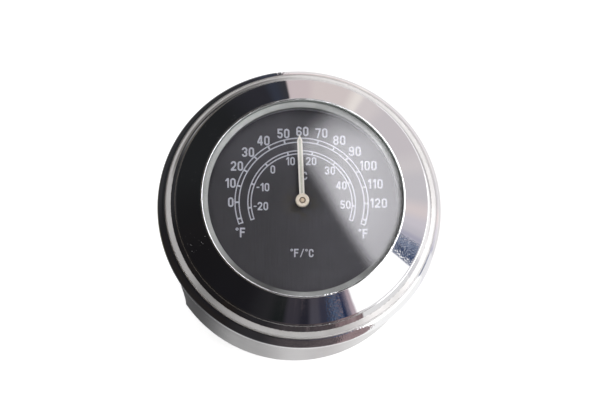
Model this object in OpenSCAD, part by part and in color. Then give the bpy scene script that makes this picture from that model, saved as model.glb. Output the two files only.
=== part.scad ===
// Handlebar thermometer: a round dial gauge in a stepped metal case, on a split clamp
// for a motorcycle's handlebar. All sizes are millimetres.
// The origin is on the handlebar's axis, straight under the middle of the dial.
// +Z points out of the dial's face, +X along the bar to 3 o'clock, +Y to 12 o'clock.
// Heights are stacked from the bar upwards, so a change of one size moves what sits on it.

/* [Bar clamp] */
// Diameter of the handlebar that the clamp closes on
bar_d = 25.4; // [22:0.1:27]
// Gap left between the two halves of the clamp
clamp_gap = 1; // [0.5:0.1:2]
// Length of the lower half along the bar
cap_w = 16; // [12:0.5:20]
// Metal under the bar in the lower half
cap_wall = 4; // [3:0.25:6]
// Thickness of the lower half's two ears
ear_t = 5; // [3.5:0.25:7]
// Rounding of the lower half's bottom edges
cap_round = 7.5; // [4:0.5:9]
// Distance from the bar's surface to a clamp screw's axis
screw_inset = 3.4; // [3.2:0.1:3.8]
// Metal of an ear beyond a screw's head
ear_margin = 0.8; // [0.5:0.1:2]

/* [Clamp screws] */
// Thread diameter of a clamp screw
screw_d = 4; // [3:0.5:4]
// Length of a clamp screw under its head
screw_l = 16; // [14:1:17]
// Diameter of a clamp screw's head
screw_head_d = 7; // [5.5:0.25:7]
// Height of a clamp screw's head
screw_head_h = 4; // [2.5:0.25:4.5]
// Width across the flats of the socket in the head
screw_socket = 3; // [2:0.5:3.5]
// Depth of that socket
socket_depth = 2.2; // [1.2:0.1:2.4]
// Thickness of the washer under a screw's head
washer_t = 0.8; // [0.5:0.1:1.2]

/* [Housing] */
// Metal between the bar and the cavity
crown_wall = 2.65; // [2:0.05:4]
// Diameter of the cavity that holds the movement
cavity_d = 26; // [25:0.5:30]
// Wall of the threaded neck that carries the bezel
neck_wall = 2.2; // [1.5:0.1:2.4]
// How far the rim reaches out past the seal
rim_out = 1.3; // [1:0.1:2]
// How far the rim reaches out past the round body
rim_over = 1.95; // [1:0.05:3]
// Radius of the rim's rounded face
rim_bead_r = 2.4; // [2:0.1:3]
// Height of the upright band under the rim's rounded face
rim_side_h = 0.67; // [0.55:0.01:1.5]
// Rounding of the rim's lower edge
rim_edge_r = 0.45; // [0.2:0.05:0.5]

/* [Bezel] */
// Diameter of the opening that the lens fills
lens_bore_d = 34.4; // [33:0.1:35.5]
// Width of the flat lip round the lens
lip_w = 0.3; // [0.2:0.05:0.6]
// Width of the sloped face, seen from above
cone_w = 4; // [3:0.1:5]
// Fall of the sloped face from its inner to its outer edge
cone_h = 2.9; // [2:0.1:3.2]
// Growth of the bezel's radius from the sloped face to its foot
bezel_flare = 0.85; // [0.5:0.05:1.5]
// Height of the bezel's side under the sloped face
side_h = 2.1; // [1.8:0.1:3]
// Depth of the fine step turned just under the sloped face
step_h = 0.55; // [0.4:0.05:0.8]
// Width of that step
step_w = 0.26; // [0.2:0.02:0.4]
// Width of the ledge that the lens sits on
ledge_w = 1; // [0.8:0.1:1.6]
// Thickness of that ledge
ledge_t = 0.75; // [0.5:0.05:1]

/* [Seals and lens] */
// Thickness of the seal between the bezel and the rim
seal_t = 1.1; // [0.8:0.1:1.6]
// Growth of the seal's radius from its top to its foot
seal_flare = 0.8; // [0.4:0.1:1]
// Thickness of the gasket under the lens
gasket_t = 0.3; // [0.2:0.05:0.5]
// Thickness of the lens
lens_t = 1; // [0.8:0.1:1.6]
// Width of the bevel on the lens's top edge
lens_bevel = 0.3; // [0.1:0.05:0.5]
// Height of the lip above the lens
lip_h = 0.18; // [0.1:0.02:0.4]

/* [Dial] */
// Thickness of the dial plate
dial_t = 0.5; // [0.4:0.1:0.8]
// Gap round the staff in the dial's hole
dial_hole_gap = 0.3; // [0.2:0.05:0.5]
// Height of the black ring between the dial and the bezel's ledge
spacer_h = 1.55; // [1.5:0.05:3]
// Wall of the black ring
spacer_w = 0.85; // [0.6:0.05:1]
// Height of the printed marks above the dial
ink_t = 0.08; // [0.05:0.01:0.15]
// Outer radius of the Fahrenheit band
outer_band_r = 11.5; // [11:0.1:12]
// Outer radius of the Celsius band
inner_band_r = 9.3; // [9:0.1:10]
// Width of the Fahrenheit band between its two lines
outer_band_w = 0.9; // [0.6:0.05:1.2]
// Width of the Celsius band between its two lines
inner_band_w = 0.75; // [0.5:0.05:1]
// Width of a band's lines
line_w = 0.2; // [0.12:0.02:0.3]
// Width of a tick across a band
tick_w = 0.28; // [0.16:0.02:0.4]
// Height of the Fahrenheit numerals
outer_text_h = 1.68; // [1.2:0.04:1.9]
// Height of the Celsius numerals
inner_text_h = 1.44; // [1:0.04:1.6]
// Space between a band and its numerals
text_gap = 0.25; // [0.15:0.05:0.5]

/* [Pointer] */
// Temperature shown at rest, in degrees Fahrenheit
shown_f = 58.7; // [0:0.1:120]
// Distance from the staff to the pointer's tip
pointer_l = 11.6; // [10:0.05:12.5]
// Width of the pointer
pointer_w = 0.9; // [0.7:0.02:1.2]
// Length of the pointer's pointed end
pointer_tip_l = 0.95; // [0.6:0.05:1.4]
// Thickness of the pointer
pointer_t = 0.22; // [0.15:0.01:0.35]
// Width of the pale filling let into the pointer
inlay_w = 0.36; // [0.24:0.02:0.5]
// Depth of that filling
inlay_t = 0.14; // [0.08:0.01:0.14]
// Diameter of the pointer's hub
hub_d = 2.36; // [2:0.02:3]
// Gap between the hub's top and the lens
hub_gap = 0.45; // [0.3:0.05:0.6]
// Height of the hub
hub_h = 1.5; // [1.2:0.05:1.6]
// Height of the hub's narrow foot under the pointer
hub_foot_h = 0.7; // [0.4:0.05:0.8]
// Wall of that foot round the staff
hub_wall = 0.4; // [0.25:0.05:0.5]
// Width of the sunk ring between the staff and the hub's rim
groove_w = 0.2; // [0.1:0.02:0.3]
// Depth of that sunk ring
groove_depth = 0.25; // [0.1:0.05:0.4]

/* [Movement] */
// Thickness of the movement's base plate
plate_t = 0.8; // [0.6:0.1:1.2]
// Thickness of the bridge under the dial
bridge_t = 0.7; // [0.5:0.1:1]
// Length of the pillars between the plate and the bridge
pillar_l = 5.4; // [4.6:0.1:6]
// Diameter of a pillar
pillar_d = 2; // [1.6:0.1:2.4]
// Space between the bridge and the dial, for the screws' heads
dial_clear = 0.85; // [0.7:0.05:1.2]
// Diameter of the staff
staff_d = 0.7; // [0.6:0.05:1]
// Height of the staff's end above the hub
staff_show = 0.12; // [0.05:0.01:0.2]
// Height of the staff's other end above the cavity's floor
staff_lift = 0.35; // [0.1:0.05:0.5]
// Running clearance round the staff in its bushes
run_gap = 0.02; // [0.01:0.01:0.04]
// Outer diameter of a bush
bush_d = 3; // [2.4:0.1:3.6]
// Width of a bush's flange
flange_w = 0.6; // [0.3:0.1:1]
// Thickness of a bush's flange
flange_t = 0.4; // [0.2:0.05:0.6]
// Thread diameter of the movement's screws
small_screw_d = 1.2; // [1:0.1:1.4]
// Length of thread that holds a screw of the movement
small_grip = 1.4; // [1:0.1:1.8]
// Height of the head of a screw of the movement
small_head_h = 0.5; // [0.3:0.05:0.6]
// Outer diameter of the collet that holds the coil's inner end
collet_d = 3; // [2.6:0.1:3.4]
// Thickness of the two-metal strip
strip_t = 0.25; // [0.15:0.05:0.35]
// Width of the two-metal strip
strip_w = 2.6; // [2:0.1:3]
// Turns of the coil
coil_turns = 5.5; // [3.5:0.5:6.5]
// Distance from one turn of the coil to the next
coil_pitch = 1.2; // [0.8:0.05:1.2]
// Height of the coil above the base plate
coil_lift = 1.1; // [0.6:0.1:1.6]
// Diameter of the split post at the coil's outer end
post_d = 1.8; // [1.4:0.1:2]
// Metal round the bridge's three windows
window_wall = 2.3; // [1.8:0.1:3]

/* [Hidden] */
$fn = 96;

// Small clearances and overlaps shared by the fits
fit_gap = 0.05;
touch_gap = 0.02;
hole_gap = 0.2;
head_room = 0.3;
thread_spare = 0.3;
tap_spare = 1.2;
cut = 0.5;
small_round = 0.25;
// Arc pieces at each rounded corner of a turned outline
arc_n = 6;

// Heights above the bar's axis, from the cavity's floor to the lip
bar_r = bar_d / 2;
half_gap = clamp_gap / 2;
floor_z = bar_r + crown_wall;
plate_top = floor_z + plate_t;
bridge_z = plate_top + pillar_l;
bridge_top = bridge_z + bridge_t;
dial_z = bridge_top + dial_clear;
dial_top = dial_z + dial_t;
neck_top = dial_top + spacer_h;
ledge_top = neck_top + ledge_t;
lens_z = ledge_top + gasket_t;
lens_top = lens_z + lens_t;
lip_z = lens_top + lip_h;
cone_z = lip_z - cone_h;
bezel_z = cone_z - side_h;
seal_z = bezel_z - seal_t;

// Radii that the pieces share, from the lens outwards
lens_bore_r = lens_bore_d / 2;
seat_r = lens_bore_r - fit_gap;
ledge_r = lens_bore_r - ledge_w;
neck_r = lens_bore_r + neck_wall;
thread_r = neck_r + fit_gap;
lip_r = lens_bore_r + lip_w;
cone_r = lip_r + cone_w;
bezel_r = cone_r + bezel_flare;
seal_r = bezel_r + seal_flare;
rim_r = seal_r + rim_out;
housing_r = rim_r - rim_over;
cavity_r = cavity_d / 2;

// The rim's rounded face starts at the seal's foot and ends above the upright band
bead_x = rim_r - rim_bead_r;
bead_end = acos((seal_r - bead_x) / rim_bead_r);
bead_z = seal_z - rim_bead_r * sin(bead_end);
rim_z = bead_z - rim_side_h;

// The clamp's screws stand on the dial's 12 and 6 o'clock sides
screw_y = bar_r + screw_inset;
ear_z = -half_gap - ear_t;
cap_z = -bar_r - cap_wall;
head_z = ear_z - washer_t;
ear_end = screw_y + screw_head_d / 2 + ear_margin;
thread_top = head_z + screw_l + tap_spare;

// Both scales share one sweep: 15 degrees of arc for each 10 degrees Fahrenheit
arc_per_f = 1.5;
band_over = 20;
end_inset = 0.6;
f_step = 10;
f_last = 120;
c_first = -20;
c_last = 50;
function f_angle(f) = 180 - arc_per_f * f;
function c_angle(c) = f_angle(32 + 1.8 * c);

// Small moves, right and up, of the printed numerals from their places on the ticks' lines
f_moves = [[0.1, 0], [0.05, 0.1], [0, 0], [-0.15, -0.15], [-0.15, -0.05], [0.2, 0], [0.2, 0],
           [0.2, 0.15], [0.2, 0.15], [0.2, 0.2], [0.1, 0.15], [0.05, 0.1], [-0.05, 0.1]];
c_moves = [[0.05, 0.1], [0.15, 0.1], [0.25, 0.1], [0.1, 0], [0.1, -0.05], [0.15, -0.1],
           [0.05, 0.1], [0.1, 0.15]];
c_mark_move = [0.25, -0.05];

// The staff and what it carries
staff_r = staff_d / 2;
staff_z = floor_z + staff_lift;
hub_r = hub_d / 2;
hub_top = lens_z - hub_gap;
hub_z = hub_top - hub_h;
hub_foot_r = staff_r + hub_wall;
hub_inset = 0.15;
staff_top = hub_top + staff_show;
pointer_z = hub_z + hub_foot_h;
pointer_top = pointer_z + pointer_t;
rest_angle = f_angle(shown_f);

// The movement's pieces on their circles
plate_r = cavity_r - hole_gap;
bush_r = bush_d / 2;
pillar_margin = 0.6;
pillar_r = plate_r - pillar_d / 2 - pillar_margin;
pillar_angles = [30, 150, 270];
plate_screw_angles = [90, 210, 330];
small_hole_d = small_screw_d + 2 * fit_gap;
small_head_d = small_screw_d * 1.7;
driver_slot_w = 0.2 * small_screw_d;

// The coil's first turn starts on the collet and its last turn ends in the post
coil_z = plate_top + coil_lift;
coil_top = coil_z + strip_w;
coil_over = 0.2;
coil_r0 = collet_d / 2 + strip_t / 2 + touch_gap;
coil_r1 = coil_r0 + coil_turns * coil_pitch;
coil_steps = 24;

// Points of a closed outline whose corners, given as [x, y, radius], are rounded
function unit(v) = v / norm(v);
function corner(p, q, s) =
    let (a = unit([p.x - q.x, p.y - q.y]), b = unit([s.x - q.x, s.y - q.y]))
    let (half = acos(a * b) / 2, reach = q[2] / tan(half))
    let (mid = [q.x, q.y] + unit(a + b) * (q[2] / sin(half)))
    let (from = [q.x, q.y] + a * reach - mid, to = [q.x, q.y] + b * reach - mid)
    let (start = atan2(from.y, from.x), sweep = atan2(from.x * to.y - from.y * to.x, from * to))
    [for (i = [0:arc_n]) mid + q[2] * [cos(start + sweep * i / arc_n), sin(start + sweep * i / arc_n)]];
function rounded(pts) =
    let (n = len(pts))
    [for (i = [0:n - 1]) each (pts[i][2] > 0
        ? corner(pts[(i + n - 1) % n], pts[i], pts[(i + 1) % n]) : [[pts[i].x, pts[i].y]])];

// A ring of square section, and a disc with a hole
module ring(r_in, r_out, z0, z1) {
    translate([0, 0, z0]) difference() {
        cylinder(r = r_out, h = z1 - z0);
        translate([0, 0, -cut]) cylinder(r = r_in, h = z1 - z0 + 2 * cut);
    }
}

module at_angles(angles, r) {
    for (a = angles) rotate([0, 0, a]) translate([r, 0, 0]) children();
}

module both_ears() {
    for (side = [-1, 1]) translate([0, side * screw_y, 0]) children();
}

module bar_bore(length) {
    rotate([0, 90, 0]) cylinder(d = bar_d, h = length, center = true);
}

// Case

// Round block with the upper half of the bar's bore, the rim, the cavity and the threaded neck
module housing() {
    outline = [
        [0, half_gap, 0],
        [housing_r, half_gap, small_round],
        [housing_r, rim_z, small_round],
        [rim_r, rim_z, rim_edge_r],
        [rim_r, bead_z, 0],
        [seal_r, seal_z, 0],
        [neck_r, seal_z, 0],
        [neck_r, neck_top, small_round],
        [lens_bore_r, neck_top, 0],
        [lens_bore_r, dial_z, 0],
        [cavity_r, dial_z, 0],
        [cavity_r, floor_z, 0],
        [0, floor_z, 0]];
    color("silver") difference() {
        rotate_extrude() {
            polygon(rounded(outline));
            bead_sector();
        }
        bar_bore(2 * housing_r + 2 * cut);
        both_ears() translate([0, 0, half_gap - cut])
            cylinder(d = screw_d + 2 * fit_gap, h = thread_top - half_gap + cut);
        at_angles(plate_screw_angles, pillar_r) translate([0, 0, floor_z - small_grip - thread_spare])
            cylinder(d = small_hole_d, h = small_grip + thread_spare + cut);
    }
}

// Section of the rim's rounded face, from level up to the seal's foot
module bead_sector() {
    far = 2 * rim_bead_r;
    translate([bead_x, bead_z]) intersection() {
        circle(r = rim_bead_r);
        polygon([[0, 0], [far, 0], [far * cos(bead_end), far * sin(bead_end)]]);
    }
}

// Screwed ring with the lip, the sloped face and a fine step above its foot
module bezel_ring() {
    lip_round = 0.4 * lip_w;
    outline = [
        [ledge_r, neck_top, 0],
        [ledge_r, ledge_top, 0],
        [lens_bore_r, ledge_top, 0],
        [lens_bore_r, lip_z, lip_round],
        [lip_r, lip_z, lip_round],
        [cone_r, cone_z, small_round],
        [cone_r + step_w / 2, cone_z - step_h, fit_gap],
        [cone_r + step_w, cone_z - step_h, fit_gap],
        [bezel_r, bezel_z, 0],
        [thread_r, bezel_z, 0],
        [thread_r, neck_top, 0]];
    color("gainsboro") rotate_extrude() polygon(rounded(outline));
}

// Pale ring squeezed between the bezel's foot and the rim
module bezel_seal() {
    outline = [
        [thread_r, seal_z],
        [seal_r, seal_z],
        [bezel_r, bezel_z],
        [thread_r, bezel_z]];
    color([0.74, 0.72, 0.7]) rotate_extrude() polygon(outline);
}

module lens() {
    outline = [
        [0, lens_z],
        [seat_r, lens_z],
        [seat_r, lens_top - lens_bevel],
        [seat_r - lens_bevel, lens_top],
        [0, lens_top]];
    color([0.8, 0.88, 0.86, 0.3]) rotate_extrude() polygon(outline);
}

module lens_gasket() {
    color([0.66, 0.66, 0.64]) ring(ledge_r, seat_r, ledge_top, lens_z);
}

// Black ring that holds the dial down, chamfered where it meets the view
module spacer_ring() {
    outline = [
        [seat_r - spacer_w + small_round, dial_top],
        [seat_r, dial_top],
        [seat_r, neck_top],
        [seat_r - spacer_w, neck_top],
        [seat_r - spacer_w, dial_top + small_round]];
    color([0.09, 0.09, 0.1]) rotate_extrude() polygon(outline);
}

// Dial

module dial_plate() {
    color([0.2, 0.2, 0.21]) ring(staff_r + dial_hole_gap, seat_r, dial_z, dial_top);
}

// Flat sector of a ring, from angle a0 to a1 counter-clockwise from 3 o'clock, under 300 degrees
module sector(r_in, r_out, a0, a1) {
    span = a1 - a0;
    reach = 2 * r_out;
    steps = 4;
    intersection() {
        difference() {
            circle(r = r_out);
            circle(r = r_in);
        }
        polygon(concat([[0, 0]],
            [for (i = [0:steps]) reach * [cos(a0 + span * i / steps), sin(a0 + span * i / steps)]]));
    }
}

// Band of two lines joined by ticks at the listed angles and closed at both ends
module band(r, w, angles) {
    low = f_angle(f_last) - band_over;
    high = f_angle(0) + band_over;
    sector(r - line_w, r, low, high);
    sector(r - w, r - w + line_w, low, high);
    for (a = angles) rotate([0, 0, a])
        translate([r - w + line_w / 2, -tick_w / 2]) square([w - line_w, tick_w]);
    for (a = [low + end_inset, high - end_inset]) rotate([0, 0, a])
        translate([r - w, -line_w / 2]) square([w, line_w]);
}

module dial_scales() {
    f_angles = [for (f = [-f_step:f_step:f_last + f_step]) f_angle(f)];
    c_angles = [for (c = [c_first:f_step:c_last]) c_angle(c)];
    color("white") translate([0, 0, dial_top]) linear_extrude(ink_t) {
        band(outer_band_r, outer_band_w, f_angles);
        band(inner_band_r, inner_band_w, c_angles);
    }
}

// Numerals drawn with straight strokes and half circles. A glyph stands on y = 0, is h high,
// glyph_w(c, h) wide and drawn with strokes of width t.
function glyph_w(c, h) =
    h * (c == "1" ? 0.36 : c == "-" ? 0.34 : c == "*" ? 0.3 : c == "/" ? 0.5 : 0.56);
function glyph_space(h) = 0.13 * h;
function word_w(s, h) = glyph_space(h) * (len(s) - 1) + word_sum(s, h, 0);
function word_sum(s, h, i) = i >= len(s) ? 0 : glyph_w(s[i], h) + word_sum(s, h, i + 1);

module bar(x0, y0, x1, y1) {
    translate([x0, y0]) square([x1 - x0, y1 - y0]);
}

// Upright ring with half-round ends, w wide and from y0 to y1
module bowl(w, y0, y1, t) {
    difference() {
        bowl_solid(w, y0, y1, w / 2);
        bowl_solid(w, y0, y1, w / 2 - t);
    }
}

module bowl_solid(w, y0, y1, r) {
    for (y = [y0 + w / 2, y1 - w / 2]) translate([w / 2, y]) circle(r = r, $fn = 24);
    bar(w / 2 - r, y0 + w / 2, w / 2 + r, y1 - w / 2);
}

module glyph_six(w, h, t) {
    difference() {
        bowl(w, 0, h, t);
        bar(w / 2, 0.42 * h, w + t, 0.72 * h);
    }
    bowl(w, 0, 0.6 * h, t);
}

module glyph(c, h, t) {
    w = glyph_w(c, h);
    waist = 0.5 * h;
    if (c == "0") bowl(w, 0, h, t);
    if (c == "1") {
        bar(w - t, 0, w, h);
        polygon([[0, 0.78 * h], [0, 0.66 * h], [w - t, 0.74 * h], [w - t, h]]);
    }
    if (c == "2") {
        intersection() {
            bowl(w, 0, h, t);
            bar(-t, 0.7 * h, w + t, h);
        }
        polygon([[w - t, 0.7 * h], [w, 0.7 * h], [w, 0.6 * h], [0.5 * w, t], [0, t], [w - t, 0.6 * h]]);
        bar(0, 0, w, t);
    }
    if (c == "3") {
        difference() {
            union() {
                bowl(w, 0, waist + t / 2, t);
                bowl(w, waist - t / 2, h, t);
            }
            bar(-t, 0.28 * h, 0.42 * w, 0.72 * h);
        }
    }
    if (c == "4") difference() {
        polygon([[0, 0.2 * h], [0, 0.4 * h], [0.5 * w, h], [0.86 * w, h], [0.86 * w, 0.36 * h],
            [w, 0.36 * h], [w, 0.2 * h], [0.86 * w, 0.2 * h], [0.86 * w, 0], [0.86 * w - t, 0],
            [0.86 * w - t, 0.2 * h]]);
        polygon([[0.32 * w, 0.36 * h], [0.86 * w - t, 0.36 * h], [0.86 * w - t, 0.76 * h]]);
    }
    if (c == "5") {
        bar(0.06 * w, h - t, 0.96 * w, h);
        bar(0.06 * w, 0.46 * h, 0.06 * w + t, h);
        difference() {
            bowl(w, 0, 0.64 * h, t);
            bar(-t, 0.26 * h, 0.44 * w, 0.46 * h);
        }
    }
    if (c == "6") glyph_six(w, h, t);
    if (c == "7") {
        bar(0, h - t, w, h);
        polygon([[w - t, h - t], [w, h - t], [0.56 * w, 0], [0.56 * w - t, 0]]);
    }
    if (c == "8") {
        bowl(w, 0, waist + t / 2, t);
        bowl(w, waist - t / 2, h, t);
    }
    if (c == "9") translate([w, h]) rotate([0, 0, 180]) glyph_six(w, h, t);
    if (c == "-") bar(0, 0.4 * h, w, 0.4 * h + 0.8 * t);
    if (c == "/") polygon([[0, 0], [0.7 * t, 0], [w, h], [w - 0.7 * t, h]]);
    if (c == "*") translate([w / 2, h - w / 2]) difference() {
        circle(d = w, $fn = 24);
        circle(d = w - t, $fn = 24);
    }
    if (c == "F") {
        bar(0, 0, t, h);
        bar(0, h - t, 0.95 * w, h);
        bar(0, 0.45 * h, 0.85 * w, 0.45 * h + t);
    }
    if (c == "C") difference() {
        bowl(w, 0, h, t);
        bar(w / 2, 0.36 * h, w + t, 0.64 * h);
    }
}

// A row of glyphs centred on the middle of its box
module word(s, h) {
    stroke = 0.165 * h;
    translate([-word_w(s, h) / 2, -h / 2]) for (i = [0:len(s) - 1])
        translate([word_sum(s, h, 0) - word_sum(s, h, i) + i * glyph_space(h), 0]) glyph(s[i], h, stroke);
}

// Reach of a word's rounded box towards the angle a
function word_reach(s, h, a) = norm([word_w(s, h) / 2 * cos(a), h / 2 * sin(a)]);

module word_at(s, h, r, a, move = [0, 0]) {
    translate(r * [cos(a), sin(a)] + move) word(s, h);
}

module dial_numerals() {
    outer_r = outer_band_r + text_gap;
    inner_r = inner_band_r - inner_band_w - text_gap;
    unit_angle = 6.8;
    color("white") translate([0, 0, dial_top]) linear_extrude(ink_t) {
        for (i = [0:len(f_moves) - 1]) {
            f = i * f_step;
            reach = word_reach(str(f), outer_text_h, f_angle(f));
            word_at(str(f), outer_text_h, outer_r + reach, f_angle(f), f_moves[i]);
        }
        for (i = [0:len(c_moves) - 1]) {
            c = c_first + i * f_step;
            reach = word_reach(str(c), inner_text_h, c_angle(c));
            word_at(str(c), inner_text_h, inner_r - reach, c_angle(c), c_moves[i]);
        }
        for (a = [f_angle(f_last) - band_over, f_angle(0) + band_over])
            word_at("*F", outer_text_h, outer_r, a + (a > 90 ? unit_angle : -unit_angle));
        word_at("*C", inner_text_h, inner_r * 0.58, 90, c_mark_move);
        word_at("*F/*C", inner_text_h, inner_r * 1.06, 270);
    }
}

// Pointer and movement

// Outline of the pointer along +X, w wide, from x0 to a point at x1 whose taper is tip long
module pointer_outline(x0, x1, w, tip) {
    polygon([[x0, -w / 2], [x1 - tip, -w / 2], [x1, 0], [x1 - tip, w / 2], [x0, w / 2]]);
}

module inlay_outline() {
    pointer_outline(hub_r + hub_inset, pointer_l - pointer_tip_l * 0.7, inlay_w, inlay_w * 0.6);
}

module pointer() {
    color([0.87, 0.79, 0.6]) translate([0, 0, pointer_z]) rotate([0, 0, rest_angle]) difference() {
        linear_extrude(pointer_t) difference() {
            union() {
                pointer_outline(0, pointer_l, pointer_w, pointer_tip_l);
                circle(r = hub_r - hub_inset);
            }
            circle(r = hub_foot_r);
        }
        translate([0, 0, pointer_t - inlay_t]) linear_extrude(pointer_t) inlay_outline();
    }
}

module pointer_inlay() {
    color([0.86, 0.87, 0.78]) translate([0, 0, pointer_top - inlay_t]) rotate([0, 0, rest_angle])
        linear_extrude(inlay_t) inlay_outline();
}

// The hub's foot passes through the pointer, and the staff passes through both
module pointer_hub() {
    hub_edge = 0.12;
    outline = [
        [staff_r, hub_z],
        [hub_foot_r, hub_z],
        [hub_foot_r, pointer_top],
        [hub_r, pointer_top],
        [hub_r, hub_top - hub_edge],
        [hub_r - hub_edge, hub_top],
        [staff_r + groove_w, hub_top],
        [staff_r + groove_w, hub_top - groove_depth],
        [staff_r, hub_top - groove_depth]];
    color([0.9, 0.8, 0.6]) rotate_extrude() polygon(outline);
}

module staff() {
    end_h = 0.6 * staff_r;
    color([0.78, 0.66, 0.42]) {
        translate([0, 0, staff_z]) cylinder(r = staff_r, h = staff_top - end_h - staff_z);
        translate([0, 0, staff_top - end_h]) cylinder(r1 = staff_r, r2 = staff_r / 2, h = end_h);
    }
}

module coil_collet() {
    color("goldenrod") ring(staff_r, collet_d / 2, coil_z - coil_over, coil_top + coil_over);
}

// Spiral of two-metal strip: one outline that runs out along one face and back along the other
function spiral(side) = [for (i = [0:coil_steps * coil_turns]) let (a = 360 * i / coil_steps)
    (coil_r0 + coil_pitch * a / 360 + side * strip_t / 2) * [cos(a), sin(a)]];
function reversed(v) = [for (i = [len(v) - 1:-1:0]) v[i]];

module bimetal_coil() {
    color([0.72, 0.6, 0.45]) translate([0, 0, coil_z]) linear_extrude(strip_w)
        polygon(concat(spiral(-1), reversed(spiral(1))));
}

// Split post that grips the coil's outer end
module coil_post() {
    end_angle = 360 * coil_turns;
    slot_l = post_d / 2 + cut;
    slot_play = 0.12;
    color("goldenrod") rotate([0, 0, end_angle]) translate([coil_r1, 0, plate_top]) difference() {
        cylinder(d = post_d, h = coil_top + coil_over - plate_top);
        translate([-strip_t / 2 - slot_play, -slot_l, coil_lift - fit_gap])
            cube([strip_t + slot_play + fit_gap, slot_l + fit_gap, strip_w + 2 * cut]);
    }
}

module movement_plate() {
    color("goldenrod") difference() {
        ring(bush_r, plate_r, floor_z, plate_top);
        at_angles(plate_screw_angles, pillar_r) translate([0, 0, floor_z - cut])
            cylinder(d = small_hole_d, h = plate_t + 2 * cut);
    }
}

// Plate over the coil with three round windows, on the pillars
module movement_bridge() {
    window_d = plate_r - bush_r - 2 * window_wall;
    color("goldenrod") difference() {
        ring(bush_r, plate_r, bridge_z, bridge_top);
        at_angles(plate_screw_angles, (plate_r + bush_r) / 2) translate([0, 0, bridge_z - cut])
            cylinder(d = window_d, h = bridge_t + 2 * cut);
        at_angles(pillar_angles, pillar_r) translate([0, 0, bridge_z - cut])
            cylinder(d = small_hole_d, h = bridge_t + 2 * cut);
    }
}

module movement_pillars() {
    color("goldenrod") at_angles(pillar_angles, pillar_r) difference() {
        translate([0, 0, plate_top]) cylinder(d = pillar_d, h = pillar_l);
        translate([0, 0, bridge_z - small_grip - thread_spare])
            cylinder(d = small_hole_d, h = small_grip + thread_spare + cut);
    }
}

// Slotted screw whose head sits on z0, through a plate of thickness t
module small_screw(z0, t) {
    translate([0, 0, z0 - t - small_grip]) cylinder(d = small_screw_d, h = t + small_grip);
    difference() {
        translate([0, 0, z0]) cylinder(d = small_head_d, h = small_head_h);
        translate([-small_head_d, -driver_slot_w / 2, z0 + small_head_h / 2])
            cube([2 * small_head_d, driver_slot_w, small_head_h]);
    }
}

module pillar_screws() {
    color("slategray") at_angles(pillar_angles, pillar_r) small_screw(bridge_top, bridge_t);
}

module plate_screws() {
    color("slategray") at_angles(plate_screw_angles, pillar_r) small_screw(plate_top, plate_t);
}

// Bush pressed into a plate from z0 to z1, with its flange from flange_z up, bored for the staff
module bush(z0, z1, flange_z) {
    color("darkgoldenrod") difference() {
        union() {
            translate([0, 0, flange_z]) cylinder(r = bush_r + flange_w, h = flange_t);
            translate([0, 0, z0]) cylinder(r = bush_r, h = z1 - z0);
        }
        translate([0, 0, staff_z]) cylinder(r = staff_r + run_gap, h = lip_z);
    }
}

module front_bush() {
    bush(bridge_z, bridge_top, bridge_z - flange_t);
}

module rear_bush() {
    bush(floor_z, plate_top, plate_top);
}

// Lower half of the clamp

// Saddle block with two ears, half-round in plan at both ends, and room for the screws' heads
module clamp_cap() {
    block_y = bar_r + cap_wall;
    block = [
        [-block_y, -half_gap, 0],
        [block_y, -half_gap, 0],
        [block_y, cap_z, cap_round],
        [-block_y, cap_z, cap_round]];
    color("silver") difference() {
        union() {
            rotate([90, 0, 90]) linear_extrude(cap_w, center = true) polygon(rounded(reversed(block)));
            translate([0, 0, ear_z]) linear_extrude(ear_t) {
                square([cap_w, 2 * ear_end - cap_w], center = true);
                for (side = [-1, 1]) translate([0, side * (ear_end - cap_w / 2)]) circle(d = cap_w);
            }
        }
        bar_bore(cap_w + 2 * cut);
        both_ears() {
            translate([0, 0, ear_z - cut]) cylinder(d = screw_d + 2 * hole_gap, h = ear_t + 2 * cut);
            translate([0, 0, cap_z - cut])
                cylinder(d = screw_head_d + 2 * head_room, h = ear_z - cap_z + cut);
        }
    }
}

module clamp_washers() {
    color("lightgray") both_ears() ring(screw_d / 2 + hole_gap / 2, screw_head_d / 2, head_z, ear_z);
}

// Socket-head screw, head down, at its place under one ear
module clamp_screw(side) {
    socket_d = screw_socket / cos(30);
    head = [
        [0, head_z - screw_head_h, 0],
        [screw_head_d / 2, head_z - screw_head_h, small_round],
        [screw_head_d / 2, head_z, 0],
        [0, head_z, 0]];
    color("gray") translate([0, side * screw_y, 0]) difference() {
        union() {
            rotate_extrude() polygon(rounded(head));
            translate([0, 0, head_z]) cylinder(d = screw_d, h = screw_l);
        }
        translate([0, 0, head_z - screw_head_h - cut])
            cylinder(d = socket_d, h = socket_depth + cut, $fn = 6);
    }
}

module clamp_screw_top() {
    clamp_screw(1);
}

module clamp_screw_bottom() {
    clamp_screw(-1);
}

housing();
bezel_ring();
bezel_seal();
lens();
lens_gasket();
spacer_ring();
dial_plate();
dial_scales();
dial_numerals();
pointer();
pointer_inlay();
pointer_hub();
staff();
coil_collet();
bimetal_coil();
coil_post();
movement_plate();
movement_bridge();
movement_pillars();
pillar_screws();
plate_screws();
front_bush();
rear_bush();
clamp_cap();
clamp_washers();
clamp_screw_top();
clamp_screw_bottom();
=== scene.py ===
"""Looks of the handlebar thermometer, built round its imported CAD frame.

Sizes in the classes are millimetres; meshes are in metres, in the CAD's own frame. The origin
is on the handlebar's axis under the middle of the dial, and +Z points out of the dial's face.
"""

import logging
import math
from collections.abc import Callable, Iterator, Sequence
from contextlib import contextmanager
from dataclasses import dataclass
from enum import Enum
from typing import ClassVar

import bpy
from mathutils import Matrix, Vector


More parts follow.
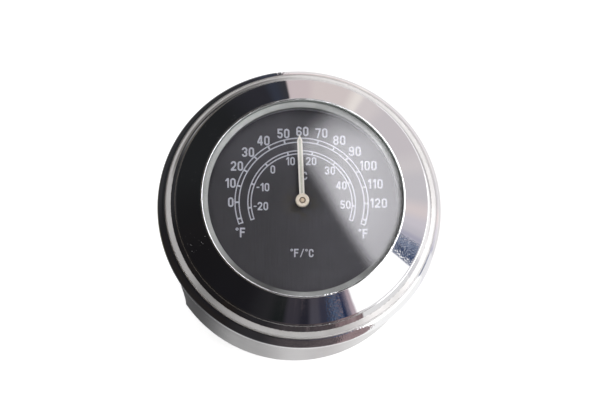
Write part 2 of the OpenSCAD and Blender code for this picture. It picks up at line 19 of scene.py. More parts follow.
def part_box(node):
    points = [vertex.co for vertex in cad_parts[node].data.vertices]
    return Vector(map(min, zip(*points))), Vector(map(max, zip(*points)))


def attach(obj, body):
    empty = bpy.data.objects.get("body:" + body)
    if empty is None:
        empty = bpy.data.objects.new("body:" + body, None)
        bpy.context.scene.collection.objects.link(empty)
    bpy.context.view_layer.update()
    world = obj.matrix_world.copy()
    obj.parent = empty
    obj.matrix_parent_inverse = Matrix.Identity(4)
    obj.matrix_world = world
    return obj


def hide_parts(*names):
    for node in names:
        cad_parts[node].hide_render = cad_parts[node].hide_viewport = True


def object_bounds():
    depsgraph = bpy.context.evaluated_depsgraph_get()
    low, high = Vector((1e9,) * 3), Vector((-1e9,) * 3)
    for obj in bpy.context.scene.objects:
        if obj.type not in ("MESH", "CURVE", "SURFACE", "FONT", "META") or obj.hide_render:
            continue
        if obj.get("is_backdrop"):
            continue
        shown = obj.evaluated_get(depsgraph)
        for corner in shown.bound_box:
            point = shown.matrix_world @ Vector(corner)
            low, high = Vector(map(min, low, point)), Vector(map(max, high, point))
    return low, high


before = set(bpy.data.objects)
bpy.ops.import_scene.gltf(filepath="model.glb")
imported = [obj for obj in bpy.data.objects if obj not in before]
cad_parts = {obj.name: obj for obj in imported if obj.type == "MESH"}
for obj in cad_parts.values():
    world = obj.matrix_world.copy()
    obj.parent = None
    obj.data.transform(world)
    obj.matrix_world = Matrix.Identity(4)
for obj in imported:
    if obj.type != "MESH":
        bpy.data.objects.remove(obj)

LOG = logging.getLogger("thermometer")
MM = 0.001
NOISE_ROUGHNESS = 0.55
# Height of the bezel's lip and radius of the lens's bore, in millimetres
LIP_Z, LENS_BORE_R = 27.38, 17.2
Triple = tuple[float, float, float]
Colour = Triple
Tones = tuple[tuple[float, float], ...]


def grey(level: float) -> Colour:
    """The neutral grey of a level."""
    return level, level, level


def scaled(colour: Colour, factor: float) -> Colour:
    """A colour made darker or lighter, up to white."""
    return tuple(min(1.0, factor * c) for c in colour)


# Workbench: the modelling operators


class Kind(Enum):
    """What a test selects in edit mode."""

    EDGE = "EDGE"
    FACE = "FACE"


class Join(Enum):
    """What a tool does to a piece."""

    CUT = "DIFFERENCE"
    ADD = "UNION"


class Bench:
    """Short ways to run the modelling operators on one piece at a time."""

    @staticmethod
    def clear_default_objects() -> None:
        """Removes the objects that a new Blender file starts with."""
        for name in ("Cube", "Light", "Camera"):
            found = bpy.data.objects.get(name)
            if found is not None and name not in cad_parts:
                bpy.data.objects.remove(found)

    @staticmethod
    def pick(*pieces: bpy.types.Object) -> None:
        """Selects only these pieces and makes the first one active."""
        bpy.ops.object.select_all(action="DESELECT")
        for piece in pieces:
            piece.select_set(True)
        bpy.context.view_layer.objects.active = pieces[0]

    @staticmethod
    @contextmanager
    def editing(piece: bpy.types.Object) -> Iterator[None]:
        """Edit mode on one piece, with all of its mesh selected.

        Args:
            piece: The mesh object to edit.
        """
        Bench.pick(piece)
        bpy.ops.object.mode_set(mode="EDIT")
        bpy.ops.mesh.select_mode(type="VERT")
        bpy.ops.mesh.select_all(action="SELECT")
        try:
            yield
        finally:
            bpy.ops.object.mode_set(mode="OBJECT")

    @staticmethod
    def added(name: str) -> bpy.types.Object:
        """Names the primitive that was just added and puts its place into its mesh.

        Args:
            name: The piece's name.

        Returns:
            The new object, at the origin, unturned and unscaled.
        """
        piece = bpy.context.active_object
        piece.name = name
        piece.data.name = name
        Bench.pick(piece)
        bpy.ops.object.transform_apply(location=True, rotation=True, scale=True)
        return piece

    @staticmethod
    def choose(piece: bpy.types.Object, kind: Kind, test: Callable[[Vector, Vector], bool]) -> None:
        """Selects edges or faces of a piece in edit mode by a test.

        Args:
            piece: The piece in edit mode.
            kind: Whether edges or faces are selected.
            test: Takes an edge's two ends, or a face's middle and normal, in millimetres.
        """
        bpy.ops.mesh.select_mode(type=kind.value)
        bpy.ops.mesh.select_all(action="DESELECT")
        bpy.ops.object.mode_set(mode="OBJECT")
        if kind is Kind.EDGE:
            for edge in piece.data.edges:
                start, end = (piece.data.vertices[i].co / MM for i in edge.vertices)
                edge.select = test(start, end)
        else:
            for face in piece.data.polygons:
                face.select = test(face.center / MM, face.normal)
        bpy.ops.object.mode_set(mode="EDIT")

    @staticmethod
    def rod(name: str, radius: float, start: Vector, end: Vector, sides: int = 96) -> bpy.types.Object:
        """Adds a round rod between two points.

        Args:
            name: The rod's name.
            radius: Its radius in millimetres.
            start: One end, in millimetres.
            end: The other end, in millimetres.
            sides: How many sides it has.

        Returns:
            The rod.
        """
        run = end - start
        turn = run.to_track_quat("Z", "Y").to_euler()
        bpy.ops.object.select_all(action="DESELECT")
        bpy.ops.mesh.primitive_cylinder_add(
            vertices=sides, radius=radius * MM, depth=run.length * MM,
            location=(start + end) / 2 * MM, rotation=turn)
        return Bench.added(name)

    @staticmethod
    def block(name: str, width: float, length: float, low: float, high: float) -> bpy.types.Object:
        """Adds a block about the z axis, with its sizes in millimetres.

        Args:
            name: The block's name.
            width: Its size along x.
            length: Its size along y.
            low: Height of its underside.
            high: Height of its top.

        Returns:
            The block.
        """
        bpy.ops.object.select_all(action="DESELECT")
        bpy.ops.mesh.primitive_cube_add(size=1.0, location=(0, 0, (low + high) / 2 * MM))
        bpy.context.active_object.scale = (width * MM, length * MM, (high - low) * MM)
        return Bench.added(name)

    @staticmethod
    def modify(piece: bpy.types.Object, kind: str, **settings: object) -> None:
        """Adds a modifier to a piece and applies it.

        Args:
            piece: The piece.
            kind: The modifier's type.
            **settings: The modifier's settings by name.
        """
        Bench.pick(piece)
        bpy.ops.object.modifier_add(type=kind)
        modifier = piece.modifiers[-1]
        for key, value in settings.items():
            setattr(modifier, key, value)
        bpy.ops.object.modifier_apply(modifier=modifier.name)

    @staticmethod
    def combine(piece: bpy.types.Object, tools: Sequence[bpy.types.Object], join: Join) -> None:
        """Cuts the tools out of a piece, or adds them to it, and removes the tools.

        Args:
            piece: The piece that stays.
            tools: The pieces that cut or are added.
            join: Whether they cut or are added.
        """
        for tool in tools:
            Bench.modify(piece, "BOOLEAN", operation=join.value, solver="EXACT", object=tool)
            bpy.data.objects.remove(tool)

    @staticmethod
    def smooth(piece: bpy.types.Object, degrees: float = 32.0) -> None:
        """Shades a piece smooth except over sharp edges, with its broad faces kept flat."""
        Bench.pick(piece)
        bpy.ops.object.shade_smooth_by_angle(angle=math.radians(degrees))
        Bench.modify(piece, "WEIGHTED_NORMAL", keep_sharp=True)


@dataclass(frozen=True)
class Corner:
    """A corner of a turned outline: its radius and height, and how much it is rounded."""

    r: float
    z: float
    soft: float = 0.0


class Lathe:
    """Turns closed outlines into solids of revolution about the dial's axis."""

    weld = 0.4e-6

    def __init__(self, arc_steps: int = 8, turn_steps: int = 224) -> None:
        """Sets how fine the work is.

        Args:
            arc_steps: Pieces of each rounded corner.
            turn_steps: Pieces of a full turn.
        """
        self.arc_steps = arc_steps
        self.turn_steps = turn_steps

    def path(self, corners: Sequence[Corner]) -> list[Vector]:
        """Rounds the corners of a closed outline.

        Args:
            corners: The outline's corners in order.

        Returns:
            Points of the rounded outline, in millimetres, with the radius as x.
        """
        points: list[Vector] = []
        for i, here in enumerate(corners):
            at = Vector((here.r, 0.0, here.z))
            if here.soft <= 0:
                points.append(at)
                continue
            before, after = corners[i - 1], corners[(i + 1) % len(corners)]
            back = (Vector((before.r, 0.0, before.z)) - at).normalized()
            ahead = (Vector((after.r, 0.0, after.z)) - at).normalized()
            half = back.angle(ahead) / 2
            middle = at + (back + ahead).normalized() * (here.soft / math.sin(half))
            first = at + back * (here.soft / math.tan(half)) - middle
            last = at + ahead * (here.soft / math.tan(half)) - middle
            for k in range(self.arc_steps + 1):
                points.append(middle + first.slerp(last, k / self.arc_steps, first) * here.soft)
        return points

    def turn(self, name: str, corners: Sequence[Corner], steps: int | None = None) -> bpy.types.Object:
        """Turns an outline a full turn round the dial's axis.

        Args:
            name: The piece's name.
            corners: The outline's corners in order; one that starts and ends on the axis stays open.
            steps: Pieces of the turn, if not the lathe's own number.

        Returns:
            The turned piece, closed and with its faces outwards.
        """
        points = self.path(corners)
        start = points[0] * MM
        if max(points[0].x, points[-1].x) > 0:
            points.append(points[0])
        bpy.ops.object.select_all(action="DESELECT")
        bpy.ops.mesh.primitive_plane_add(size=MM, location=start)
        piece = Bench.added(name)
        with Bench.editing(piece):
            bpy.ops.mesh.merge(type="CENTER")
            here = start
            for point in points[1:]:
                step = point * MM - here
                bpy.ops.mesh.extrude_vertices_move(TRANSFORM_OT_translate={"value": step})
                here = point * MM
            bpy.ops.mesh.select_all(action="SELECT")
            bpy.ops.mesh.spin(steps=steps or self.turn_steps, angle=math.tau,
                              center=(0, 0, 0), axis=(0, 0, 1))
            bpy.ops.mesh.select_all(action="SELECT")
            bpy.ops.mesh.remove_doubles(threshold=self.weld)
            bpy.ops.mesh.normals_make_consistent(inside=False)
        return piece


# Shader maths


class Signal:
    """A shader socket that takes part in Python arithmetic."""

    def __init__(self, graph: "Graph", socket: bpy.types.NodeSocket) -> None:
        """Wraps a socket of a graph."""
        self.graph = graph
        self.socket = socket

    def __add__(self, other: "Signal | float") -> "Signal":
        """Sum."""
        return self.graph.math("ADD", self, other)

    __radd__ = __add__

    def __mul__(self, other: "Signal | float") -> "Signal":
        """Product."""
        return self.graph.math("MULTIPLY", self, other)

    __rmul__ = __mul__

    def __sub__(self, other: "Signal | float") -> "Signal":
        """Difference."""
        return self.graph.math("SUBTRACT", self, other)

    def __rsub__(self, other: "Signal | float") -> "Signal":
        """Difference with the signal second."""
        return self.graph.math("SUBTRACT", other, self)

    def __truediv__(self, other: "Signal | float") -> "Signal":
        """Quotient."""
        return self.graph.math("DIVIDE", self, other)

    def step(self, low: float, high: float) -> "Signal":
        """A soft step from 0 at low to 1 at high, or from 1 to 0 if high is less than low.

        Args:
            low: Value at which the step is 0.
            high: Value at which the step is 1.

        Returns:
            The step, between 0 and 1.
        """
        if high < low:
            return 1 - self.step(high, low)
        node = self.graph.add("ShaderNodeMapRange", {"interpolation_type": "SMOOTHSTEP"},
                              {"Value": self, "From Min": low, "From Max": high})
        return Signal(self.graph, node.outputs["Result"])

    def band(self, low: float, high: float, soft: float) -> "Signal":
        """1 between two values and 0 outside them, with soft edges of a width."""
        return self.step(low - soft / 2, low + soft / 2) * self.step(high + soft / 2, high - soft / 2)


Value = Signal | float | Colour


def turn_share(angle: Signal | float) -> Signal | float:
    """An angle from -180 to 180 degrees as a share of a full turn, from 0 to 1."""
    return (angle + 180.0) / 360.0


class Graph:
    """The node tree of one material."""

    def __init__(self, name: str) -> None:
        """Starts an empty material of a name."""
        self.material = bpy.data.materials.new(name)
        self.material.use_nodes = True
        self.tree = self.material.node_tree
        self.tree.nodes.clear()

    def add(self, kind: str, settings: dict[str, object] | None = None,
            inputs: dict[str | int, Value] | None = None) -> bpy.types.Node:
        """Adds a node.

        Args:
            kind: The node's type.
            settings: Its settings, set first. "stops" sets a ramp's stops.
            inputs: Values or links of its sockets, by name or number.

        Returns:
            The node.
        """
        node = self.tree.nodes.new(kind)
        for key, value in (settings or {}).items():
            if key == "stops":
                self._set_stops(node, value)
            else:
                setattr(node, key, value)
        for key, value in (inputs or {}).items():
            self.feed(node.inputs[key], value)
        return node

    @staticmethod
    def _set_stops(node: bpy.types.Node, stops: Sequence[tuple[float, Colour]]) -> None:
        """Gives a colour ramp its stops."""
        ramp = node.color_ramp
        while len(ramp.elements) > 1:
            ramp.elements.remove(ramp.elements[-1])
        for i, (place, colour) in enumerate(stops):
            element = ramp.elements[0] if i == 0 else ramp.elements.new(place)
            element.position = place
            element.color = (*colour, 1.0)

    def feed(self, socket: bpy.types.NodeSocket, value: Value) -> None:
        """Links a signal to a socket, or sets the socket's own value."""
        if isinstance(value, Signal):
            self.tree.links.new(value.socket, socket)
        elif socket.type == "RGBA":
            socket.default_value = (*value, 1.0)
        else:
            socket.default_value = value

    def math(self, operation: str, *values: Signal | float) -> Signal:
        """A Math node's result.

        Args:
            operation: The Math node's operation.
            *values: Its inputs in order.

        Returns:
            The result.
        """
        node = self.add("ShaderNodeMath", {"operation": operation}, dict(enumerate(values)))
        return Signal(self, node.outputs[0])

    def mix(self, share: Signal, low: Value, high: Value) -> Signal:
        """A colour between two colours.

        Args:
            share: 0 for the first colour and 1 for the second.
            low: The first colour.
            high: The second colour.

        Returns:
            The mixed colour.
        """
        node = self.add("ShaderNodeMix", {"data_type": "RGBA"})
        factor, first, second = node.inputs[0], node.inputs[6], node.inputs[7]
        for socket, value in ((factor, share), (first, low), (second, high)):
            self.feed(socket, value)
        return Signal(self, node.outputs[2])

    def layers(self, base: Value, *layers: tuple[Signal, Value]) -> Signal:
        """Lays colours over a base in order, each as strongly as its mask says.

        Args:
            base: The lowest colour.
            *layers: Pairs of a mask, from 0 to 1, and a colour.

        Returns:
            The colour that is seen in the end.
        """
        for mask, colour in layers:
            base = self.mix(mask, base, colour)
        return base

    def ramp(self, share: Signal, stops: Sequence[tuple[float, Colour]]) -> Signal:
        """A colour from a row of stops.

        Args:
            share: The place on the row, from 0 to 1.
            stops: Places and their colours.

        Returns:
            The colour.
        """
        node = self.add("ShaderNodeValToRGB", {"stops": stops}, {"Fac": share})
        return Signal(self, node.outputs["Color"])

    def tones(self, angle: Signal, colour: Signal, stops: Sequence[tuple[float, float]]) -> Signal:
        """A colour made lighter and darker round the dial.

        Args:
            angle: The angle round the dial in degrees.
            colour: The colour.
            stops: Angles and the colour's strength there.

        Returns:
            The changed colour.
        """
        strength = self.ramp(turn_share(angle), [(turn_share(a), grey(level)) for a, level in stops])
        node = self.add("ShaderNodeVectorMath", {"operation": "MULTIPLY"}, {0: colour, 1: strength})
        return Signal(self, node.outputs[0])

    def bump(self, height: Signal, depth: float) -> Signal:
        """A normal tilted by a height.

        Args:
            height: The height, from 0 to 1.
            depth: What a height of 1 stands for, in millimetres.

        Returns:
            The normal.
        """
        node = self.add("ShaderNodeBump", inputs={
            "Height": height, "Distance": depth * MM, "Strength": 1.0})
        return Signal(self, node.outputs["Normal"])

    def surface(self, shader: bpy.types.Node) -> bpy.types.Material:
        """Shows a shader node on the material and returns the material."""
        out = self.add("ShaderNodeOutputMaterial")
        self.tree.links.new(shader.outputs[0], out.inputs["Surface"])
        return self.material


@dataclass(frozen=True)
class Fleck:
    """Flecks cut out of noise.

    Attributes:
        size: Their rough size in millimetres.
        low: The noise at which a fleck starts.
        high: The noise at which it is full.
        detail: How many finer layers the noise has.
        stretch: How much longer they are along x, y and z.
    """

    size: float
    low: float
    high: float
    detail: float = 3.0
    stretch: Triple = (1.0, 1.0, 1.0)


@dataclass(frozen=True)
class Arc:
    """A stretch of the way round the dial: two angles in degrees, and how soft its ends are."""

    start: float
    end: float
    soft: float


class Place:
    """Where a point of a piece is, in millimetres and degrees, and the noise there."""

    def __init__(self, graph: Graph) -> None:
        """Reads the point's coordinates, its distance from the dial's axis and its angle round it."""
        self.graph = graph
        self.spot = Signal(graph, graph.add("ShaderNodeTexCoord").outputs["Object"])
        parts = graph.add("ShaderNodeSeparateXYZ", inputs={0: self.spot})
        self.x, self.y, self.z = (Signal(graph, parts.outputs[i]) * (1.0 / MM) for i in range(3))
        self.reach = graph.math("SQRT", self.x * self.x + self.y * self.y)
        self.angle = graph.math("ARCTAN2", self.y, self.x) * (180.0 / math.pi)

    def noise(self, size: float, detail: float = 3.0, stretch: Triple = (1.0, 1.0, 1.0)) -> Signal:
        """Soft noise between 0 and 1.

        Args:
            size: Rough size of the noise's blobs in millimetres.
            detail: How many finer layers it has.
            stretch: How much longer the blobs are along x, y and z.

        Returns:
            The noise.
        """
        scale = tuple(1.0 / (size * MM * s) for s in stretch)
        moved = self.graph.add("ShaderNodeMapping", inputs={"Vector": self.spot, "Scale": scale})
        node = self.graph.add("ShaderNodeTexNoise", inputs={
            "Vector": Signal(self.graph, moved.outputs[0]), "Scale": 1.0, "Detail": detail,
            "Roughness": NOISE_ROUGHNESS})
        return Signal(self.graph, node.outputs[0])

    def flecks(self, kind: Fleck) -> Signal:
        """Flecks of a kind: 1 inside them and 0 between them."""
        return self.noise(kind.size, kind.detail, kind.stretch).step(kind.low, kind.high)

    def within(self, *arcs: Arc) -> Signal:
        """1 within arcs that lie apart from one another, and 0 elsewhere."""
        first, *others = (self.angle.band(arc.start, arc.end, arc.soft) for arc in arcs)
        return sum(others, first)


# Finishes


@dataclass(frozen=True)
class Finish:
    """A finish: the material of one or more pieces."""

    slot: str
    colour: Colour
    roughness: float
    metallic: float = 0.0

    def material(self) -> bpy.types.Material:
        """Builds the finish's material, once.

        Returns:
            The material, named after the record's slot.
        """
        name = "finish_" + self.slot
        found = bpy.data.materials.get(name)
        if found is not None:
            return found
        graph = Graph(name)
        return graph.surface(self.shader(graph))

    def shader(self, graph: Graph) -> bpy.types.Node:
        """Lays the finish's nodes; each finish has its own."""
        raise NotImplementedError

    def principled(self, graph: Graph, **inputs: Value) -> bpy.types.Node:
        """A Principled node with the finish's own values, where none is given.

        Args:
            graph: The material's graph.
            **inputs: Values by socket name, with _ for a space.

        Returns:
            The node.
        """
        named = {key.replace("_", " "): value for key, value in inputs.items()}
        values: dict[str | int, Value] = {
            "Base Color": self.colour, "Roughness": self.roughness, "Metallic": self.metallic}
        values.update(named)
        return graph.add("ShaderNodeBsdfPrincipled", inputs=values)

    def dress(self, *pieces: bpy.types.Object) -> None:
        """Gives these pieces the finish."""
        for piece in pieces:
            if not piece.material_slots:
                piece.data.materials.append(None)
            for held in piece.material_slots:
                held.material = self.material()


@dataclass(frozen=True)
class PolishedPlate(Finish):
    """Mirror-polished plate: faint ripple, nicks on the lip, gritty patches and a rough bore."""

    lip_z: float = LIP_Z
    lip_depth: float = 0.1
    bore_r: float = LENS_BORE_R
    bore_skin: tuple[float, float] = (0.08, 0.04)
    bore_lit_x: tuple[float, float] = (-4.0, 6.0)
    # The bore's grey-green is partly painted: its green tint stands in for light tinted by the glass's edge.
    bore_colour: Colour = (0.27, 0.30, 0.285)
    bore_roughness: float = 0.6
    nick_colour: Colour = (0.25, 0.22, 0.19)
    relief: float = 0.012
    ripple_size: float = 5.0
    grain_turns: float = 70.0
    grit_size: float = 0.28
    scuff: Fleck = Fleck(0.35, 0.62, 0.75, 5.0)
    scuffed: Fleck = Fleck(3.0, 0.5, 0.62)
    dust: Fleck = Fleck(0.26, 0.72, 0.77, 1.0)
    dusty: Fleck = Fleck(6.0, 0.52, 0.66)
    nick: Fleck = Fleck(0.5, 0.64, 0.71, 4.0)
    gritty: tuple[Arc, ...] = (Arc(-78.4, -70.6, 0.8), Arc(-30.8, -20.0, 0.8))

    def shader(self, graph: Graph) -> bpy.types.Node:
        """Lays the nodes of the mirror finish."""
        here = Place(graph)
        lip_foot = self.lip_z - self.lip_depth
        ripple = here.noise(self.ripple_size, 2.0)
        grain = graph.math("SINE", here.reach * self.grain_turns + here.noise(1.5) * 9.0)
        scuff = here.flecks(self.scuff) * here.flecks(self.scuffed)
        dust = 0.5 * here.flecks(self.dust) * here.flecks(self.dusty)
        nick = here.flecks(self.nick) * here.z.step(lip_foot, self.lip_z - 0.03)
        grit = (here.noise(self.grit_size, 0.0) - 0.5) * here.within(*self.gritty)
        below = graph.math("MAXIMUM", here.z.step(lip_foot, self.lip_z - 0.16),
                           here.x.step(*self.bore_lit_x))
        bore = (here.reach - self.bore_r).step(*self.bore_skin) * below
        rough = self.roughness + 0.015 * ripple + 0.10 * scuff + 0.25 * nick + 0.5 * dust
        rough = rough * (1 - bore) + self.bore_roughness * bore
        colour = graph.layers(self.colour, (nick, self.nick_colour), (bore, self.bore_colour))
        height = 0.75 * ripple + 0.02 * grain - 0.05 * scuff - 0.3 * nick + grit
        metal = 1 - graph.math("MAXIMUM", bore, dust * 0.6)
        return self.principled(graph, Base_Color=colour, Roughness=rough, Metallic=metal,
                               Normal=graph.bump(height, self.relief))


@dataclass(frozen=True)
class SatinBody(Finish):
    """Satin turned alloy under a polished rim, which is dirty at its joint and pitted in places."""

    polish_z: float = 18.4
    polish_r: float = 22.6
    joint_r: float = 23.1
    joint_w: tuple[float, float] = (0.42, 0.12)
    grime: Colour = (0.42, 0.41, 0.40)
    polished: Colour = (0.86, 0.86, 0.865)
    polished_roughness: float = 0.05
    shade: float = 0.86
    relief: float = 0.006
    line_size: float = 0.12
    line_stretch: Triple = (40.0, 40.0, 1.0)
    blotch_size: float = 4.0
    pit_size: float = 0.3
    grit_size: float = 0.06
    pitted: tuple[Arc, ...] = (Arc(-88.0, -50.0, 14.0), Arc(91.0, 114.0, 8.0))

    def shader(self, graph: Graph) -> bpy.types.Node:
        """Lays the nodes of the satin body and its polished rim."""
        here = Place(graph)
        above = here.z.step(self.polish_z - 0.05, self.polish_z + 0.05)
        rim = above * here.reach.step(self.polish_r, self.polish_r + 0.1)
        lines = here.noise(self.line_size, 4.0, self.line_stretch)
        blotch = here.noise(self.blotch_size)
        pits = here.noise(self.pit_size, 0.0) * rim * here.within(*self.pitted)
        grit = here.noise(self.grit_size, 2.0)
        joint = (here.reach - self.joint_r).step(*self.joint_w) * rim
        satin = self.roughness + 0.10 * blotch + 0.12 * (lines - 0.5)
        rough = satin * (1 - rim) + (self.polished_roughness + 0.02 * blotch) * rim + 0.3 * joint
        worked = graph.mix(lines * 0.25 + grit * 0.15, self.colour, scaled(self.colour, self.shade))
        colour = graph.mix(rim, worked, graph.mix(joint * 0.7, self.polished, self.grime))
        height = (lines * 0.8 + grit * 0.35) * (1 - rim) + blotch * 0.5 * rim + pits * 2.4
        return self.principled(graph, Base_Color=colour, Roughness=rough,
                               Normal=graph.bump(height, self.relief))


@dataclass(frozen=True)
class MattRing(Finish):
    """Matt moulded ring, a little dusty, with a fine moulded grain."""

    grain: float = 0.25
    spread: float = 0.10
    blotch_size: float = 2.5
    relief: float = 0.02

    def shader(self, graph: Graph) -> bpy.types.Node:
        """Lays the nodes of the moulded ring."""
        here = Place(graph)
        blotch = here.noise(self.blotch_size)
        grit = here.noise(self.grain)
        share = (blotch * 0.6 + grit * 0.4).step(0.3, 0.7)
        colour = graph.mix(share, scaled(self.colour, 1 - self.spread), scaled(self.colour, 1 + self.spread))
        return self.principled(
            graph, Base_Color=self.dirt_and_painted_light(graph, here, colour),
            Roughness=self.roughness + 0.12 * (blotch - 0.5), Normal=graph.bump(grit, self.relief))

    def dirt_and_painted_light(self, graph: Graph, here: Place, colour: Signal) -> Signal:
        """The ring's colour with its dirt and painted light; a plain ring has none."""
        return colour


@dataclass(frozen=True)
class SealRing(MattRing):
    """The ring under the bezel: dirt in its joints, painted light and shade round it, and at the upper left
    a painted shadow and a dark edge.
    """

    inner_r: float = 22.35
    outer_r: float = 23.15
    dirt: Colour = (0.10, 0.09, 0.08)
    fleck_size: float = 0.4
    joint_w: float = 0.09
    inner_joint_w: float = 0.08
    painted_shadow_w: tuple[float, float] = (0.42, 0.30)
    edge_w: tuple[float, float] = (0.24, 0.12)
    dark_edge: Arc = Arc(96.0, 134.0, 10.0)
    # Painted light and shade: lighter on the right and lower right, darker at the lower left.
    LIGHT_AND_SHADE_TONES: ClassVar[Tones] = (
        (-180, 0.95), (-168, 0.93), (-162, 0.8), (-148, 0.8), (-140, 0.5), (-132, 0.5), (-122, 0.7),
        (-112, 0.83), (-82, 0.8), (-73, 0.7), (-66, 0.9), (-57, 1.3), (-44, 1.1), (-28, 1.4),
        (-3, 1.3), (10, 1.15), (90, 1.1), (110, 1.0), (180, 0.95))

    def dirt_and_painted_light(self, graph: Graph, here: Place, colour: Signal) -> Signal:
        """The ring's colour with dirt along its joints, painted light and shade by side, a painted shadow on
        its inner part and a dark outer edge.
        """
        angle = here.angle
        from_inner, to_outer = here.reach - self.inner_r, self.outer_r - here.reach
        fleck = here.noise(self.fleck_size, 4.0)
        far = angle.step(85.0, 108.0) * angle.step(172.0, 160.0)
        near = (1 - far) * fleck.step(0.45, 0.62)
        joints = to_outer.step(self.joint_w, 0.0) + from_inner.step(self.inner_joint_w, 0.0)
        # Painted shadow of the bezel's steep side on the ring's inner part, at the upper left.
        painted_shadow = from_inner.step(*self.painted_shadow_w) * far * (0.75 + 0.25 * fleck)
        edge = to_outer.step(*self.edge_w) * here.within(self.dark_edge)
        return graph.mix(joints * near * 0.7 + painted_shadow * 0.85 + edge * 0.75,
                         graph.tones(angle, colour, self.LIGHT_AND_SHADE_TONES), self.dirt)


@dataclass(frozen=True)
class GasketRing(MattRing):
    """The ring under the lens's edge: painted shade on the right, and painted light at the top and left."""

    # Painted light and shade round the ring: dark on the right, lighter at the top and left.
    LIGHT_AND_SHADE_TONES: ClassVar[Tones] = (
        (-180, 1.42), (-160, 1.40), (-145, 1.1), (-130, 0.45), (-110, 0.22), (-98, 0.7), (-90, 0.95),
        (-72, 0.85), (-60, 1.0), (-50, 0.6), (-40, 0.35), (-26, 0.32), (-8, 0.26), (6, 0.32),
        (18, 0.62), (35, 1.1), (52, 0.9), (68, 0.95), (84, 1.25), (108, 1.36), (122, 1.62),
        (140, 1.78), (156, 1.5), (180, 1.42))

    def dirt_and_painted_light(self, graph: Graph, here: Place, colour: Signal) -> Signal:
        """The ring's colour with painted shade on one side and painted light on the other."""
        return graph.tones(here.angle, colour, self.LIGHT_AND_SHADE_TONES)


@dataclass(frozen=True)
class LensGlass(Finish):
    """Clear flat glass with a few specks of dust and faint wipe marks."""

    index: float = 1.52
    edge_r: float = 17.1
    inner_r: float = 16.0
    tint: Colour = (0.97, 0.966, 0.972)
    speck: Fleck = Fleck(0.28, 0.76, 0.80, 2.0)
    wipe: Fleck = Fleck(0.5, 0.62, 0.8, 4.0, (14.0, 1.0, 1.0))

    def shader(self, graph: Graph) -> bpy.types.Node:
        """Lays the nodes of the clear glass."""
        here = Place(graph)
        wipe = here.flecks(self.wipe)
        clear = graph.add("ShaderNodeBsdfTransparent", inputs={"Color": self.tint})
        gloss = graph.add("ShaderNodeBsdfAnisotropic", inputs={
            "Color": self.colour, "Roughness": self.roughness + 0.05 * wipe})
        mirror = Signal(graph, graph.add("ShaderNodeFresnel", inputs={"IOR": self.index}).outputs[0])
        share = mirror + 0.03 * wipe * mirror + 0.25 * here.flecks(self.speck)
        both = graph.add("ShaderNodeMixShader")
        graph.feed(both.inputs[0], share * here.reach.step(self.edge_r, self.inner_r))
        graph.tree.links.new(clear.outputs[0], both.inputs[1])
        graph.tree.links.new(gloss.outputs[0], both.inputs[2])
        return both


@dataclass(frozen=True)
class DialPaint(Finish):
    """Charcoal dial paint: brushed lines over its lower half, dust specks, a brownish patch at the hub,
    painted light.
    """

    dark: float = 0.78
    pale: float = 1.55
    relief: float = 0.003
    hub_patch: Colour = (0.060, 0.054, 0.042)
    hub_patch_r: tuple[float, float] = (4.2, 1.2)
    hub_patch_flecks: Fleck = Fleck(1.2, 0.35, 0.6)
    brush_size: float = 0.2
    brush_stretch: Triple = (1.0, 30.0, 1.0)
    cloud_size: float = 5.0
    dust: Fleck = Fleck(0.13, 0.68, 0.78, 2.0)

    def shader(self, graph: Graph) -> bpy.types.Node:
        """Lays the nodes of the dial's paint."""
        here = Place(graph)
        x, y = here.x, here.y
        lower = y.step(4.0, -5.0)
        brush = here.noise(self.brush_size, 4.0, self.brush_stretch)
        lines = (brush - 0.5) * lower
        cloud = here.noise(self.cloud_size)
        # Painted light: the paint made lighter at the lower right, the upper left and along the top.
        lower_right = x.step(-7.0, 6.0) * y.step(2.0, -3.0)
        upper_left = y.step(3.0, 10.0) * x.step(1.0, -4.0)
        painted_light = lower_right + upper_left + 0.5 * y.step(9.0, 14.0)
        share = 0.22 + painted_light * 0.68 + lines * 0.9 + (cloud - 0.5) * 0.5 + here.flecks(self.dust) * 0.45
        colour = graph.mix(graph.math("MAXIMUM", share, 0.0), scaled(self.colour, self.dark),
                           scaled(self.colour, self.pale))
        # A brownish patch round the hub, broken by flecks.
        near = here.reach.step(*self.hub_patch_r) * here.flecks(self.hub_patch_flecks)
        colour = graph.mix(near * 0.8, colour, self.hub_patch)
        rough = self.roughness + 0.14 * lines + 0.1 * (cloud - 0.5)
        return self.principled(graph, Base_Color=colour, Roughness=rough,
                               Normal=graph.bump(brush * lower + cloud * 0.3, self.relief))


@dataclass(frozen=True)
class DialPrint(Finish):
    """Screen-printed marks: matt ink, a little uneven in strength."""

    dark: float = 0.78
    relief: float = 0.004
    cloud_size: float = 6.0
    thin: Fleck = Fleck(0.35, 0.35, 0.75, 4.0)

    def shader(self, graph: Graph) -> bpy.types.Node:
        """Lays the nodes of the print."""
        here = Place(graph)
        thin = here.flecks(self.thin)
        share = thin * 0.5 + here.noise(self.cloud_size) * 0.3
        return self.principled(
            graph, Base_Color=graph.mix(share, self.colour, scaled(self.colour, self.dark)),
            Roughness=self.roughness + 0.15 * thin, Normal=graph.bump(thin, self.relief))


